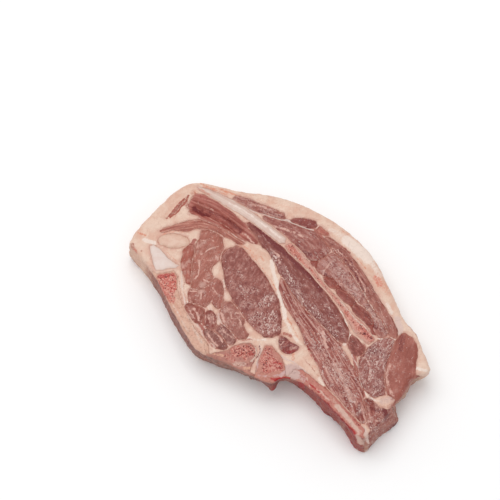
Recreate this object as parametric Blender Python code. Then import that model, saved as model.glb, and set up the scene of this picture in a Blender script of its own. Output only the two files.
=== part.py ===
"""A raw lamb shoulder chop, sawn across the blade, lying on its lower cut face.

The chop is a slab of nearly even thickness. Its fat is one solid: the cover on the outside and the
seams that run inwards from it. The muscles and bones stand in pockets of that fat and run through
the whole thickness, as the saw left them. Lengths are in millimetres until a mesh is made, +Z is up,
and the origin is the centre of the chop's box, on the surface that it lies on.
"""

import math

import bmesh
import bpy

MM = 0.001
THICKNESS = 19.0  # of the slab, between its two cut faces
SEAM_GAP = 0.3  # clearance of every piece to the fat around it
POINT_SPACING = 4.4  # along the outline of a large piece
FEWEST_POINTS = 14  # on the outline of the smallest piece
RIM_SPACING = 3.6  # along the outline of the whole slab
RIM_ROUND = 1.3  # how far the slab's outer edges are rounded
PILLOW_WIDTH = 1.8  # how far from its seam a muscle reaches its full height
PILLOW_DEPTH = 0.5  # how far a muscle's edge lies below the fat
OVERSHOOT = 2.0  # how far a cutter runs past both cut faces

# The outer edge of the upper cut face, run by run: the fat over the neck and the back, the shank
# corner, the side below it, the inside of the ribs, and the sawn spine.
FAT_COVER = (
    (-83, 44), (-77, 54.5), (-65, 69.5), (-54, 80), (-43, 82.6), (-22, 77.2), (4, 72.4),
    (31, 58.5), (52, 37.5), (64, 11), (69.5, -4.5),
)
SHANK_CORNER = ((75.5, -12), (79.5, -24), (82.5, -32), (81.5, -36), (73, -39.5), (66, -50.5))
FLAP_SIDE = ((60.6, -54.3), (59.8, -57.5), (51, -68), (45.5, -72.6), (40.5, -71))
RIB_SIDE = ((29, -57), (18, -45.5), (8, -40), (1.5, -39.5), (-3.5, -42))
SPINE_SIDE = ((-11, -39.5), (-28, -30), (-39, -25.5), (-46, -20), (-57, 0), (-69.5, 25), (-80.5, 39.5))

# Where the sides aren't square to the cut faces: centre, reach, and how far the lower face is drawn in.
LEANS = (
    ((-32, -31), 15, (1.5, 4.5)),
    ((-2, -42), 14, (0.5, 7.0)),
    ((33, -62), 8, (1.5, 2.0)),
    ((79, -40), 12, (-3.5, 5.0)),
    ((60, -59), 6, (3.0, 0.5)),
)


# ---------------------------------------------------------------- outlines

def lean(x, y, z):
    """The place of a point once the slab's sides lean as LEANS says. The upper face stays as it is."""
    depth = 1 - z / THICKNESS
    moved_x, moved_y = x, y
    for (cx, cy), reach, (dx, dy) in LEANS:
        share = depth * math.exp(-((x - cx) ** 2 + (y - cy) ** 2) / (2 * reach**2))
        moved_x += share * dx
        moved_y += share * dy
    return moved_x, moved_y, z


def evenly_spaced(points, spacing, fewest):
    """A closed line through the points, divided into equal steps of about the spacing."""
    lengths = [math.dist(a, b) for a, b in zip(points, points[1:] + points[:1])]
    total = sum(lengths)
    count = max(fewest, round(total / spacing))
    made = []
    index, passed = 0, 0.0
    for step in range(count):
        target = total * step / count
        while passed + lengths[index] < target:
            passed += lengths[index]
            index += 1
        share = (target - passed) / lengths[index]
        a, b = points[index], points[(index + 1) % len(points)]
        made.append((a[0] + share * (b[0] - a[0]), a[1] + share * (b[1] - a[1])))
    return made


def curve_between(before, start, end, after, steps):
    """Points from start up to end on a Catmull-Rom curve."""
    made = []
    for step in range(steps):
        t = step / steps
        weights = (
            (-(t**3) + 2 * t**2 - t) / 2,
            (3 * t**3 - 5 * t**2 + 2) / 2,
            (-3 * t**3 + 4 * t**2 + t) / 2,
            (t**3 - t**2) / 2,
        )
        corners = (before, start, end, after)
        made.append(tuple(sum(w * p[axis] for w, p in zip(weights, corners)) for axis in (0, 1)))
    return made


def smooth_loop(points, spacing=POINT_SPACING, fewest=FEWEST_POINTS):
    """A smooth closed outline through the points."""
    count = len(points)
    fine = []
    for i in range(count):
        around = [points[(i + k) % count] for k in (-1, 0, 1, 2)]
        fine += curve_between(*around, steps=12)
    return evenly_spaced(counterclockwise(fine), spacing, fewest)


def band_loop(stations, spacing=POINT_SPACING):
    """The outline of a long flat piece: stations hold the centre line's x, y and the width there."""
    left, right = [], []
    last = len(stations) - 1
    for i, (x, y, width) in enumerate(stations):
        ahead, behind = stations[min(i + 1, last)], stations[max(i - 1, 0)]
        dx, dy = ahead[0] - behind[0], ahead[1] - behind[1]
        length = math.hypot(dx, dy)
        across = (-dy / length * width / 2, dx / length * width / 2)
        left.append((x + across[0], y + across[1]))
        right.append((x - across[0], y - across[1]))
    return smooth_loop(left + right[::-1], spacing)


def oval_loop(centre, half_length, half_width, tilt_deg, count=22):
    """An ellipse, its long axis turned by tilt_deg from X."""
    tilt = math.radians(tilt_deg)
    made = []
    for step in range(count):
        angle = 2 * math.pi * step / count
        along, across = half_length * math.cos(angle), half_width * math.sin(angle)
        x = centre[0] + along * math.cos(tilt) - across * math.sin(tilt)
        y = centre[1] + along * math.sin(tilt) + across * math.cos(tilt)
        made.append((x, y))
    return made


def counterclockwise(loop):
    area = sum(a[0] * b[1] - b[0] * a[1] for a, b in zip(loop, loop[1:] + loop[:1]))
    return loop if area > 0 else loop[::-1]


def edge_normal(start, end):
    dx, dy = end[0] - start[0], end[1] - start[1]
    length = math.hypot(dx, dy)
    return dy / length, -dx / length


def outward(loop, index):
    """Where a point of a counterclockwise outline goes when both its edges move out by one."""
    ax, ay = edge_normal(loop[index - 1], loop[index])
    bx, by = edge_normal(loop[index], loop[(index + 1) % len(loop)])
    share = max(1 + ax * bx + ay * by, 0.35)
    return (ax + bx) / share, (ay + by) / share


def grown(loop, amount):
    """The outline moved outwards by the amount."""
    made = []
    for i, (x, y) in enumerate(loop):
        nx, ny = outward(loop, i)
        made.append((x + amount * nx, y + amount * ny))
    return made


def width_at(loop, index):
    """How wide the outline is, measured straight in from one of its points."""
    x, y = loop[index]
    nx, ny = outward(loop, index)
    widest = math.inf
    for i, a in enumerate(loop):
        b = loop[(i + 1) % len(loop)]
        if index in (i, (i + 1) % len(loop)):
            continue
        ex, ey = b[0] - a[0], b[1] - a[1]
        turn = -nx * ey + ny * ex
        if abs(turn) < 1e-9:
            continue
        wx, wy = a[0] - x, a[1] - y
        inwards = (wx * -ey + wy * ex) / turn * -1
        along = (-nx * wy + ny * wx) / turn
        if inwards > 1e-6 and -1e-6 <= along <= 1 + 1e-6:
            widest = min(widest, inwards)
    return widest


def drawn_in(loop, amount):
    """The outline moved inwards by the amount, or by less where the piece is narrow or pointed."""
    count = len(loop)
    steps = []
    for i in range(count):
        tip = math.dist(loop[i - 1], loop[(i + 1) % count])
        steps.append(min(amount, 0.25 * width_at(loop, i), 0.25 * tip))
    made = []
    for i, (x, y) in enumerate(loop):
        nx, ny = outward(loop, i)
        step = min(steps[i - 2], steps[i - 1], steps[i], steps[(i + 1) % count], steps[(i + 2) % count])
        made.append((x - step * nx, y - step * ny))
    return made


# ---------------------------------------------------------------- solids

def principled(name, colour, roughness):
    material = bpy.data.materials.new(name)
    material.use_nodes = True
    shader = material.node_tree.nodes["Principled BSDF"]
    shader.inputs["Base Color"].default_value = (*colour, 1)
    shader.inputs["Roughness"].default_value = roughness
    shader.inputs["Metallic"].default_value = 0.0
    return material


def shell(build, rings):
    """Adds a closed shell through rings of equal count, lowest first: each is an outline and its height."""
    corners = []
    for loop, height in rings:
        corners.append([build.verts.new(lean(x, y, height)) for x, y in loop])
    for lower, upper in zip(corners, corners[1:]):
        for i in range(len(lower)):
            j = (i + 1) % len(lower)
            build.faces.new((lower[i], lower[j], upper[j]))
            build.faces.new((lower[i], upper[j], upper[i]))
    build.faces.new(corners[0][::-1])
    build.faces.new(corners[-1])


def solid(name, shells, material):
    """An object of closed shells, each given as its rings."""
    build = bmesh.new()
    for rings in shells:
        shell(build, rings)
    bmesh.ops.scale(build, vec=(MM, MM, MM), verts=list(build.verts))
    mesh = bpy.data.meshes.new(name)
    build.to_mesh(mesh)
    build.free()
    mesh.shade_smooth()
    mesh.set_sharp_from_angle(angle=math.radians(40))
    mesh.materials.append(material)
    made = bpy.data.objects.new(name, mesh)
    bpy.context.scene.collection.objects.link(made)
    return made


def helper(made):
    """Marks an object that only cuts others."""
    made.hide_render = True
    made.display_type = "WIRE"
    return made


def cut(made, operation, other):
    modifier = made.modifiers.new(operation.title(), "BOOLEAN")
    modifier.operation = operation
    modifier.object = other
    modifier.solver = "EXACT"


def through_rings(loop):
    """Rings of a cutter that runs past both cut faces. It bends at them, as the pieces do."""
    return [(loop, z) for z in (-OVERSHOOT, 0, THICKNESS, THICKNESS + OVERSHOOT)]


def slab_rings(loop, top):
    """The slab's outline with its outer edges rounded, from the lower cut face to a height of top."""
    return [
        (drawn_in(loop, 0.7 * RIM_ROUND), 0),
        (loop, RIM_ROUND),
        (loop, top - RIM_ROUND),
        (drawn_in(loop, 0.4 * RIM_ROUND), top - 0.35 * RIM_ROUND),
        (drawn_in(loop, 1.2 * RIM_ROUND), top),
    ]


def inner_piece(name, loop, material, bulge):
    """A piece with fat all round it: square sides, and an upper face that swells by bulge."""
    rings = [
        (loop, 0),
        (loop, THICKNESS - PILLOW_DEPTH),
        (drawn_in(loop, PILLOW_WIDTH), THICKNESS + bulge),
    ]
    return solid(name, [rings], material)


def edge_piece(name, loop, material, envelope):
    """A piece that the slab's side shows: it is cut off where the slab ends."""
    made = solid(name, [through_rings(loop)], material)
    cut(made, "INTERSECT", envelope)
    return made


def centre_on_origin(widest):
    """Moves every object so that the box of the widest one stands centred on the origin."""
    corners = [vertex.co for vertex in widest.data.vertices]
    middle = [(min(c[axis] for c in corners) + max(c[axis] for c in corners)) / 2 for axis in (0, 1)]
    for made in bpy.data.objects:
        made.location = (-middle[0], -middle[1], 0)


# ---------------------------------------------------------------- bones

def bone_outlines():
    """Bones and cartilage with fat all round them."""
    return {
        "spine_cartilage": smooth_loop(
            ((-71.3, 41.7), (-67, 40.3), (-60, 32.6), (-54, 27.8), (-61, 27), (-67.6, 26))
        ),
        "blade_cartilage": band_loop((
            (-45.5, 78.4, 1.4), (-38, 75.2, 3.6), (-30, 70.3, 5.2), (-20, 64, 5.2), (-10, 56, 5),
            (0, 47.5, 5), (4.4, 43.4, 4.8),
        )),
        "blade_bone": band_loop((
            (6.6, 41.2, 4.8), (16.5, 29.5, 4.2), (24.5, 18.3, 3.4), (33.2, 7.3, 3.8),
            (40.2, -3.2, 5.6), (45.9, -11.1, 7.8), (50, -16.3, 6), (51.8, -18.2, 3),
        )),
    }


def edge_bone_outlines():
    """Bones that the saw or the knife laid open at the slab's side. They run past it here."""
    return {
        "feather_bone": smooth_loop((
            (-69.5, 22), (-62, 24.4), (-56, 24.6), (-55.2, 14), (-51.3, 1.5), (-44.8, -10),
            (-38, -20), (-38.3, -28), (-46, -27), (-58, -6), (-67, 12),
        )),
        "arch_bone": smooth_loop((
            (-35.3, -24.2), (-28.5, -23), (-23, -19.2), (-14.5, -18.8), (-11, -23.5),
            (-13.8, -30.5), (-17.5, -40), (-27, -36), (-36.4, -31),
        )),
        "body_bone": smooth_loop((
            (-8.6, -23), (-5.2, -18.8), (0.2, -24.8), (3.4, -30.5), (3.2, -43), (-4, -46),
            (-11.6, -43.5), (-12, -34),
        )),
        "rib": band_loop((
            (7, -36, 7), (10, -38.5, 10.5), (17.5, -45, 10.5), (26.5, -53.5, 10.5),
            (35, -63.5, 10.5), (41.8, -72.8, 10),
        )),
    }


# ---------------------------------------------------------------- muscles

def neck_muscles():
    """The short muscles beside the spine, and the two wedges above them."""
    return {
        "wedge_upper": band_loop((
            (-47.8, 69.3, 11), (-39.5, 65, 12), (-30, 59, 10.4), (-22, 52.3, 8.2), (-15.3, 46.5, 4.6),
            (-11.4, 42.8, 1),
        )),
        "wedge_lower": band_loop((
            (-65.5, 50, 0.8), (-58, 52.7, 3), (-50, 53.8, 6.4), (-43, 54.9, 4.2), (-35, 52.6, 2.4),
            (-27, 47.4, 2), (-19.6, 42.3, 0.8),
        )),
        "neck_left": band_loop((
            (-49.3, 39.3, 3.2), (-50, 34.5, 4.4), (-50.2, 28, 3.4), (-49.4, 22, 1.9), (-49.2, 17.3, 0.7),
        )),
        "neck_main": band_loop((
            (-39.7, 50, 4), (-37.6, 44, 12), (-38.5, 38, 13), (-41, 32, 11), (-42, 26, 9.6),
            (-42, 20.5, 9.4), (-45.2, 15.6, 4.6),
        )),
        "neck_low": smooth_loop((
            (-48, 12.3), (-41, 13.7), (-35.1, 19.4), (-32.2, 18), (-31.2, 10), (-32.4, 1.8),
            (-35.4, 6.6), (-40.5, 4.4), (-45.2, 6.2), (-48.4, 8.7),
        )),
        "splinter_1": smooth_loop(
            ((-48.7, 3.4), (-44.4, 3.6), (-41, 0.7), (-42.9, -4.7), (-45.6, -3), (-48.2, 0.8))
        ),
        "splinter_2": oval_loop((-37.2, -4.3), 4.4, 2.5, 100),
        "splinter_3": band_loop(((-37.5, -11.6, 2.6), (-33.8, -15.6, 4), (-29.8, -20.6, 1.8))),
        "splinter_4": band_loop(((-32, -10.3, 1.8), (-28.4, -12.7, 4.2), (-26.3, -17, 2.2))),
        "strap": smooth_loop((
            (-28.6, 5.2), (-25, 4.9), (-21.4, -0.3), (-18.5, -5.2), (-20.3, -8.4), (-16.6, -14.2),
            (-20.8, -14.4), (-26, -9.4), (-29.3, -3), (-29.5, 2),
        )),
    }


def loin_muscles():
    """The eye of the chop, and the small muscle in the fat below it."""
    return {
        "eye": band_loop((
            (-25.2, 39.6, 6), (-23.8, 35.7, 12.6), (-22, 29.7, 16.6), (-18.2, 20.7, 21.8),
            (-14.3, 12.4, 22.6), (-9.6, 4, 20.8), (-6.7, -4, 18), (-4.2, -11.2, 12.6),
            (-4.2, -14.6, 6),
        )),
        "small_muscle": smooth_loop(
            ((2.2, -15), (6, -17), (11.2, -20.8), (7.5, -24.5), (2.4, -22.5), (1.2, -18))
        ),
    }


def blade_muscles():
    """The muscles on the inner and the outer side of the blade bone."""
    return {
        "under_blade": band_loop((
            (-16.4, 55.4, 0.8), (-11.7, 49.6, 2.9), (-5, 42.2, 5.2), (1.8, 33.6, 8.4),
            (8.2, 24.5, 11.3), (14.4, 14.9, 13), (21.9, 5.4, 12.8), (28.6, -3.8, 10.9),
            (34.6, -13.2, 6.6), (36.8, -16.4, 2.4),
        )),
        "cap_sliver": band_loop((
            (-24.3, 71.7, 0.6), (-17, 69, 2.2), (-9, 65.5, 4), (-2, 62.2, 3.6), (4.6, 59.2, 0.7),
        )),
        "cap_strip": band_loop(((8.6, 57, 0.8), (14, 56.1, 3.4), (18.6, 55.2, 4.4), (21, 54.2, 2))),
        "cap_wedge": smooth_loop(
            ((22.8, 50.9), (24.8, 53), (27.3, 50.8), (29.3, 48.2), (25.5, 48.7))
        ),
        "shoulder_upper": band_loop((
            (-7.4, 59.3, 0.9), (1.2, 54.9, 3.3), (6.9, 51.7, 6.2), (12.2, 48.3, 9),
            (16.6, 45.1, 11.2), (22.3, 38.4, 11.6), (24.8, 35, 9.5),
        )),
        "shoulder_lower": band_loop((
            (27.1, 31.9, 11.8), (31.5, 27.1, 11.2), (36, 23.2, 8.4), (38.6, 18.3, 8.8),
            (43.3, 12.3, 5.7), (46.6, 7.6, 3.8), (50.3, 3, 2), (53, -2.4, 2), (55.3, -8.3, 4.4),
            (57.4, -12.6, 4), (58.1, -14.2, 2),
        )),
        "shoulder_outer": band_loop((
            (26, 45.6, 0.8), (31, 42.3, 3), (37.4, 35, 4.1), (44.8, 24.8, 4.5), (50.7, 13.1, 4.8),
            (55.4, 3.7, 4.8), (60.6, -5.8, 4), (62.8, -11.5, 3.9), (63, -14.2, 2.4),
        )),
        "blade_side_1": oval_loop((30.1, 18), 3, 1.5, -47, 14),
        "blade_side_2": oval_loop((38.2, 9.1), 5.2, 1.6, -42, 14),
        "blade_side_3": oval_loop((46.4, -0.3), 5.3, 2.4, -43, 16),
    }


def rib_muscles():
    """The long fan muscle that runs from under the blade down beside the rib."""
    return {
        "serratus": band_loop((
            (2.3, 20.4, 0.8), (4, 14.4, 2.8), (6.6, 8, 4.8), (10.2, 1.9, 6.8), (17.3, -9.1, 10.4),
            (23.4, -18.6, 13.8), (28.8, -28.5, 15.7), (34, -39, 15.6), (39.1, -48.4, 10.4),
            (43.8, -59.6, 4.3), (45.3, -65.2, 1.6),
        )),
    }


def leg_muscles():
    """The muscles below the end of the blade bone."""
    return {
        "blade_end": smooth_loop(
            ((40.9, -15.9), (43.5, -19), (46.3, -22.2), (44.8, -24.9), (41.2, -24.3), (39.8, -20.5))
        ),
        "triceps": smooth_loop((
            (62.6, -17.3), (60.5, -26), (58.3, -35), (57.7, -44), (55.5, -48.9), (50, -47.8),
            (46.4, -41), (44.9, -30.5), (48.8, -23.7), (56, -18.1),
        )),
    }


def edge_muscles():
    """Muscles that the knife cut off at the slab's side. They run past it here."""
    return {
        "flap": smooth_loop((
            (47.2, -50.8), (52, -55.2), (58.5, -57.4), (64.5, -58.6), (60, -70), (52.2, -73),
            (48.6, -67), (47.5, -58),
        )),
        "corner": smooth_loop((
            (66.2, -15.8), (70, -13.4), (74.6, -17), (76.2, -25), (74.3, -34), (75.5, -43),
            (67, -54.5), (61.5, -48.5), (59.4, -41), (60.7, -31), (63.5, -22.5),
        )),
    }


# ---------------------------------------------------------------- assembly

def main():
    for old in list(bpy.data.objects):
        bpy.data.objects.remove(old)

    fat = principled("Fat", (0.76, 0.55, 0.42), 0.45)
    lean_meat = principled("Lean meat", (0.36, 0.10, 0.075), 0.38)
    dark_meat = principled("Dark lean meat", (0.22, 0.055, 0.045), 0.38)
    bone = principled("Sawn bone", (0.60, 0.22, 0.16), 0.55)
    cartilage = principled("Cartilage", (0.83, 0.70, 0.62), 0.35)
    ligament = principled("Neck ligament", (0.80, 0.60, 0.44), 0.45)

    slab_loop = smooth_loop(FAT_COVER + SHANK_CORNER + FLAP_SIDE + RIB_SIDE + SPINE_SIDE, RIM_SPACING)
    envelope = helper(solid("envelope", [slab_rings(slab_loop, THICKNESS + 0.3)], lean_meat))

    pockets = []
    dark = {"under_blade", "eye", "blade_side_1", "blade_side_2", "blade_side_3", "small_muscle"}
    for group in (neck_muscles(), loin_muscles(), blade_muscles(), rib_muscles(), leg_muscles()):
        for name, loop in group.items():
            inner_piece(name, loop, dark_meat if name in dark else lean_meat, bulge=0.7)
            pockets.append(loop)
    for name, loop in bone_outlines().items():
        inner_piece(name, loop, bone if name == "blade_bone" else cartilage, bulge=0.2)
        pockets.append(loop)
    ligament_loop = oval_loop((-58, 44.2), 9.0, 4.6, -3)
    inner_piece("neck_ligament", ligament_loop, ligament, bulge=0.4)
    pockets.append(ligament_loop)
    for name, loop in edge_bone_outlines().items():
        edge_piece(name, loop, bone, envelope)
        pockets.append(loop)
    for name, loop in edge_muscles().items():
        edge_piece(name, loop, lean_meat, envelope)
        pockets.append(loop)

    cover = solid("fat", [slab_rings(slab_loop, THICKNESS)], fat)
    cutters = [through_rings(grown(loop, SEAM_GAP)) for loop in pockets]
    cut(cover, "DIFFERENCE", helper(solid("pockets", cutters, fat)))
    centre_on_origin(cover)


main()
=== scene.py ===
"""The looks of a raw lamb shoulder chop: one saw cut through fat, muscle and bone, moist and cold.

Lengths are in millimetres, on the cut face as it lies, until a mesh is made. Colours are the
sRGB values of the finish, from 0 to 255.
"""
import math

import bmesh
import bpy
import numpy as np
from mathutils import Euler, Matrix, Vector, noise
from mathutils.bvhtree import BVHTree
from mathutils.geometry import delaunay_2d_cdt
from mathutils.kdtree import KDTree


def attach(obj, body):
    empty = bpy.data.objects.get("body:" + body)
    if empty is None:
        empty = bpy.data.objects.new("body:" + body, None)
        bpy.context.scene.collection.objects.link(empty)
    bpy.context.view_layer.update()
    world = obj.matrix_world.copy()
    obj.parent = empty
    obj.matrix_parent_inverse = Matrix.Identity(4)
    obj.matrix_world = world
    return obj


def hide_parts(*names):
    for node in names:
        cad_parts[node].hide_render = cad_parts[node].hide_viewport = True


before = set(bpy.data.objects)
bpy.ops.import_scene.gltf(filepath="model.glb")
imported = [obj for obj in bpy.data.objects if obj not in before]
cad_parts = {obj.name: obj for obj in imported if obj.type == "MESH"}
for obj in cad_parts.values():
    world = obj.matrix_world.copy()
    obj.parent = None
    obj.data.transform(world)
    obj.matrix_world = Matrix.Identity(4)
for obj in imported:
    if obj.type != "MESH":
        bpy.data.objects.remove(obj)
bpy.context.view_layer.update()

MM = 0.001

# ---- Table, light and camera ----------------------------------------------------------------
# The chop lies on a plain white table. A wide soft lamp hangs over it, a little to the back, and
# white walls fill the shadows. The camera looks down on the cut face from the front.
TABLE_REACH = 4.0  # m, from the middle to each edge
TABLE_WHITE = 0.93
LAMP_PLACE = (-0.25, 0.35, 1.3)  # m
LAMP_SIDE = 1.1  # m
LAMP_WATTS = 8.0
ROOM_STRENGTH = 0.78
CAMERA_PLACE = (-0.0150, -0.3901, 0.8506)  # m
CAMERA_ELEVATION = 63.0  # degrees above the table
CAMERA_LENS = 120.0


def face_down_from(place):
    """The turn that points a lamp at the chop."""
    return (-Vector(place)).to_track_quat("-Z", "Y").to_euler()


corners = [(x * TABLE_REACH, y * TABLE_REACH, 0.0) for x, y in ((-1, -1), (1, -1), (1, 1), (-1, 1))]
table_mesh = bpy.data.meshes.new("table")
table_mesh.from_pydata(corners, [], [(0, 1, 2, 3)])
table = bpy.data.objects.new("table", table_mesh)
bpy.context.scene.collection.objects.link(table)
table_finish = bpy.data.materials.new("table")
table_finish.use_nodes = True
table_shader = table_finish.node_tree.nodes["Principled BSDF"]
table_shader.inputs["Base Color"].default_value = (TABLE_WHITE, TABLE_WHITE, TABLE_WHITE, 1)
table_shader.inputs["Roughness"].default_value = 0.9
table_mesh.materials.append(table_finish)

lamp_light = bpy.data.lights.new("soft_lamp", "AREA")
lamp_light.size = LAMP_SIDE
lamp_light.energy = LAMP_WATTS
lamp = bpy.data.objects.new("soft_lamp", lamp_light)
lamp.location = LAMP_PLACE
lamp.rotation_euler = face_down_from(LAMP_PLACE)
bpy.context.scene.collection.objects.link(lamp)

room = bpy.data.worlds.new("room")
room.use_nodes = True
room.node_tree.nodes["Background"].inputs["Color"].default_value = (1, 1, 1, 1)
room.node_tree.nodes["Background"].inputs["Strength"].default_value = ROOM_STRENGTH
bpy.context.scene.world = room
bpy.context.scene.view_settings.view_transform = "Standard"

camera_lens = bpy.data.cameras.new("camera")
camera_lens.lens = CAMERA_LENS
camera_lens.clip_start = 0.01
camera = bpy.data.objects.new("camera", camera_lens)
camera.location = CAMERA_PLACE
camera.rotation_euler = Euler((math.radians(90 - CAMERA_ELEVATION), 0, 0))
bpy.context.scene.collection.objects.link(camera)
bpy.context.scene.camera = camera

# ---- The slice ------------------------------------------------------------------------------
# One saw cut bares every muscle, bone and fat seam on one flat face. All pieces share one map of
# that face, made from the outlines of the CAD pieces, so neighbours meet along the same line.
THICKNESS = 19.0  # between the two cut faces
MIDDLE = THICKNESS / 2
TOP = 18.95  # height of the fat on the upper face
HIGHEST = 19.68
GRAIN = 0.5  # between points of the upper face
UNDER_GRAIN = 1.5  # between points of the lower face
OUTLINE_STEP = 0.6
CLEAR = 0.3  # of an inner point to an outline
RIM_ROWS = (0.12, 0.4, 0.8)  # rows of points just inside the slab's outline
UNDER_RIM_ROWS = (0.3, 0.9)  # the same, on the lower face
RINGS = 21  # rows of points down the slab's side
# Where the sides aren't square to the cut faces: centre, reach, how far the lower face is drawn in.
LEANS = (
    ((-32, -31), 15, (1.5, 4.5)),
    ((-2, -42), 14, (0.5, 7.0)),
    ((33, -62), 8, (1.5, 2.0)),
    ((79, -40), 12, (-3.5, 5.0)),
    ((60, -59), 6, (3.0, 0.5)),
)
LEAN_ORIGIN = (0.2, -4.85)  # the leans' own zero, in the part's frame
# How much the knife and the saw left the slab's edge rounded: centre, reach, added radius.
PLAIN_ROUND = 0.7
ROUNDS = (
    ((10, 70), 45, 2.2),
    ((60, 20), 30, 1.6),
    ((78, -42), 12, 1.8),
    ((68, -55), 8, 1.6),
    ((-70, 60), 30, 1.6),
)
SIDE_NODES = ("feather_bone", "arch_bone", "body_bone", "rib", "flap", "corner")


def bell(away, reach):
    """1 at a place and less all round it, for offsets from that place."""
    return np.exp(-(away**2).sum(-1) / (2 * reach**2))


def lean_of(points, height):
    """How far the slab's sides lean at a height, for points of the upper face."""
    depth = (1 - np.asarray(height) / THICKNESS)[..., None] if np.ndim(height) else 1 - height / THICKNESS
    shift = np.zeros_like(points)
    for centre, reach, drawn in LEANS:
        share = bell(points - np.array(centre) - np.array(LEAN_ORIGIN), reach)
        shift += share[..., None] * np.array(drawn, float)
    return shift * depth


def chained(edges):
    """The longest closed line of points that a set of mesh edges makes."""
    follow = {}
    for edge in edges:
        for vert in edge.verts:
            follow.setdefault(vert, []).append(edge.other_vert(vert))
    longest = []
    while follow:
        start = next(iter(follow))
        line = [start]
        after = follow.pop(start)[0]
        while after in follow:
            line.append(after)
            onward = [v for v in follow.pop(after) if v in follow]
            after = onward[0] if onward else None
        if len(line) > len(longest):
            longest = line
    return np.array([v.co[:2] for v in longest]) / MM


def cut_outline(node):
    """The outline of a CAD piece at half its height, set back to where it shows on the upper face."""
    form = bmesh.new()
    form.from_mesh(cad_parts[node].data)
    bmesh.ops.remove_doubles(form, verts=form.verts, dist=1e-6)
    whole = form.verts[:] + form.edges[:] + form.faces[:]
    level = (0, 0, MIDDLE * MM)
    cut = bmesh.ops.bisect_plane(form, geom=whole, plane_co=level, plane_no=(0, 0, 1))
    line = chained([e for e in cut["geom_cut"] if isinstance(e, bmesh.types.BMEdge)])
    form.free()
    upper = line.copy()
    for _ in range(4):  # the lean depends on where the line ends up, so it settles in a few rounds
        upper = line - lean_of(upper, MIDDLE)
    following = np.roll(upper, -1, 0)
    area = (upper[:, 0] * following[:, 1] - following[:, 0] * upper[:, 1]).sum()
    return upper if area > 0 else upper[::-1]


def outward(line):
    """Unit vectors square to a closed line, away from what it goes round."""
    along = np.roll(line, -1, 0) - np.roll(line, 1, 0)
    across = np.column_stack([along[:, 1], -along[:, 0]])
    return across / np.linalg.norm(across, axis=1)[:, None]


def smooth_line(points, step, closed=True):
    """A Catmull-Rom curve through the points, divided into steps of one length."""
    points = np.asarray(points, float)
    if closed:
        before, after, onward = np.roll(points, 1, 0), np.roll(points, -1, 0), np.roll(points, -2, 0)
        start = points
    else:
        ends = np.vstack([2 * points[0] - points[1], points, 2 * points[-1] - points[-2]])
        before, start, after, onward = ends[:-3], ends[1:-2], ends[2:-1], ends[3:]
    t = np.linspace(0, 1, 12, endpoint=False)[None, :, None]
    b, s, a, o = (part[:, None, :] for part in (before, start, after, onward))
    fine = 0.5 * (2 * s + (a - b) * t + (2 * b - 5 * s + 4 * a - o) * t**2 + (3 * s - b - 3 * a + o) * t**3)
    fine = np.vstack([fine.reshape(-1, points.shape[1]), points[:1] if closed else points[-1:]])
    run = np.concatenate([[0], np.cumsum(np.linalg.norm(np.diff(fine, axis=0), axis=1))])
    count = max(3, round(run[-1] / step))
    stations = np.linspace(0, run[-1], count + 1)
    even = np.column_stack([np.interp(stations, run, fine[:, k]) for k in range(points.shape[1])])
    return even[:-1] if closed else even


def noise_at(points, size, seed=0.0):
    """Smooth noise from -1 to 1 at points of 2 or 3 coordinates, in patches of about the size."""
    scaled = np.asarray(points, float) / size
    if scaled.shape[1] == 2:
        scaled = np.column_stack([scaled, np.zeros(len(scaled))])
    shift = Vector((seed * 7.31, seed * 3.17, seed * 11.9))
    return np.array([noise.noise(Vector(p) + shift) for p in scaled.tolist()])


def frayed(line, coarse=0.42, fine=0.2):
    """The line with the small waver of tissue. It comes from the place, so lines never cross."""
    waver = np.column_stack([
        coarse * noise_at(line, 5.0, 1) + fine * noise_at(line, 1.5, 2),
        coarse * noise_at(line, 5.0, 3) + fine * noise_at(line, 1.5, 4),
    ])
    return line + waver


SAME_POINT = 1e-4  # points of the map closer than this are one


def union_outline(lines, growth=0.2):
    """The outline round several closed lines that all but touch: the longest loop of map edges that
    have a face on one side only."""
    corners, rings = [], []
    for line in lines:
        rings.append(list(range(len(corners), len(corners) + len(line))))
        corners += [Vector(p) for p in (line + outward(line) * growth).tolist()]
    places, _, faces, *_ = delaunay_2d_cdt(corners, [], rings, 1, SAME_POINT)
    counts = {}
    for face in faces:
        for start, end in zip(face, face[1:] + face[:1]):
            key = frozenset((start, end))
            counts[key] = counts.get(key, 0) + 1
    follow = {}
    for face in faces:
        for start, end in zip(face, face[1:] + face[:1]):
            if counts[frozenset((start, end))] == 1:
                follow[start] = end
    longest = []
    while follow:
        at, onward = follow.popitem()
        line = [at]
        while onward in follow:
            line.append(onward)
            onward = follow.pop(onward)
        longest = max(longest, line, key=len)
    found = np.array([places[i][:2] for i in longest])
    return found - outward(found) * growth


FINE_STEP = 0.12  # between points that stand for a line


def near(lines):
    """A search tree over closed lines, filled in so finely that its points stand for the lines."""
    fine = np.vstack([smooth_line(line, FINE_STEP) for line in lines])
    tree = KDTree(len(fine))
    for i, (x, y) in enumerate(fine.tolist()):
        tree.insert((x, y, 0), i)
    tree.balance()
    return tree


def distance(tree, points):
    """How far points lie from the lines of a search tree, seen from above."""
    return np.array([tree.find((x, y, 0))[2] for x, y in points[:, :2].tolist()])


def inside(line, points):
    """Which points lie inside a closed line."""
    within = np.zeros(len(points), bool)
    x, y = points.T
    for (ax, ay), (bx, by) in zip(line, np.roll(line, -1, 0)):
        crossed = (ay > y) != (by > y)
        within ^= crossed & (x < ax + (y - ay) * (bx - ax) / (by - ay + 1e-12))
    return within


ROW_SHARE = 0.866  # of the grid's step between its rows, so that the points make even triangles
JITTER = 0.28  # of the grid's step


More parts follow.
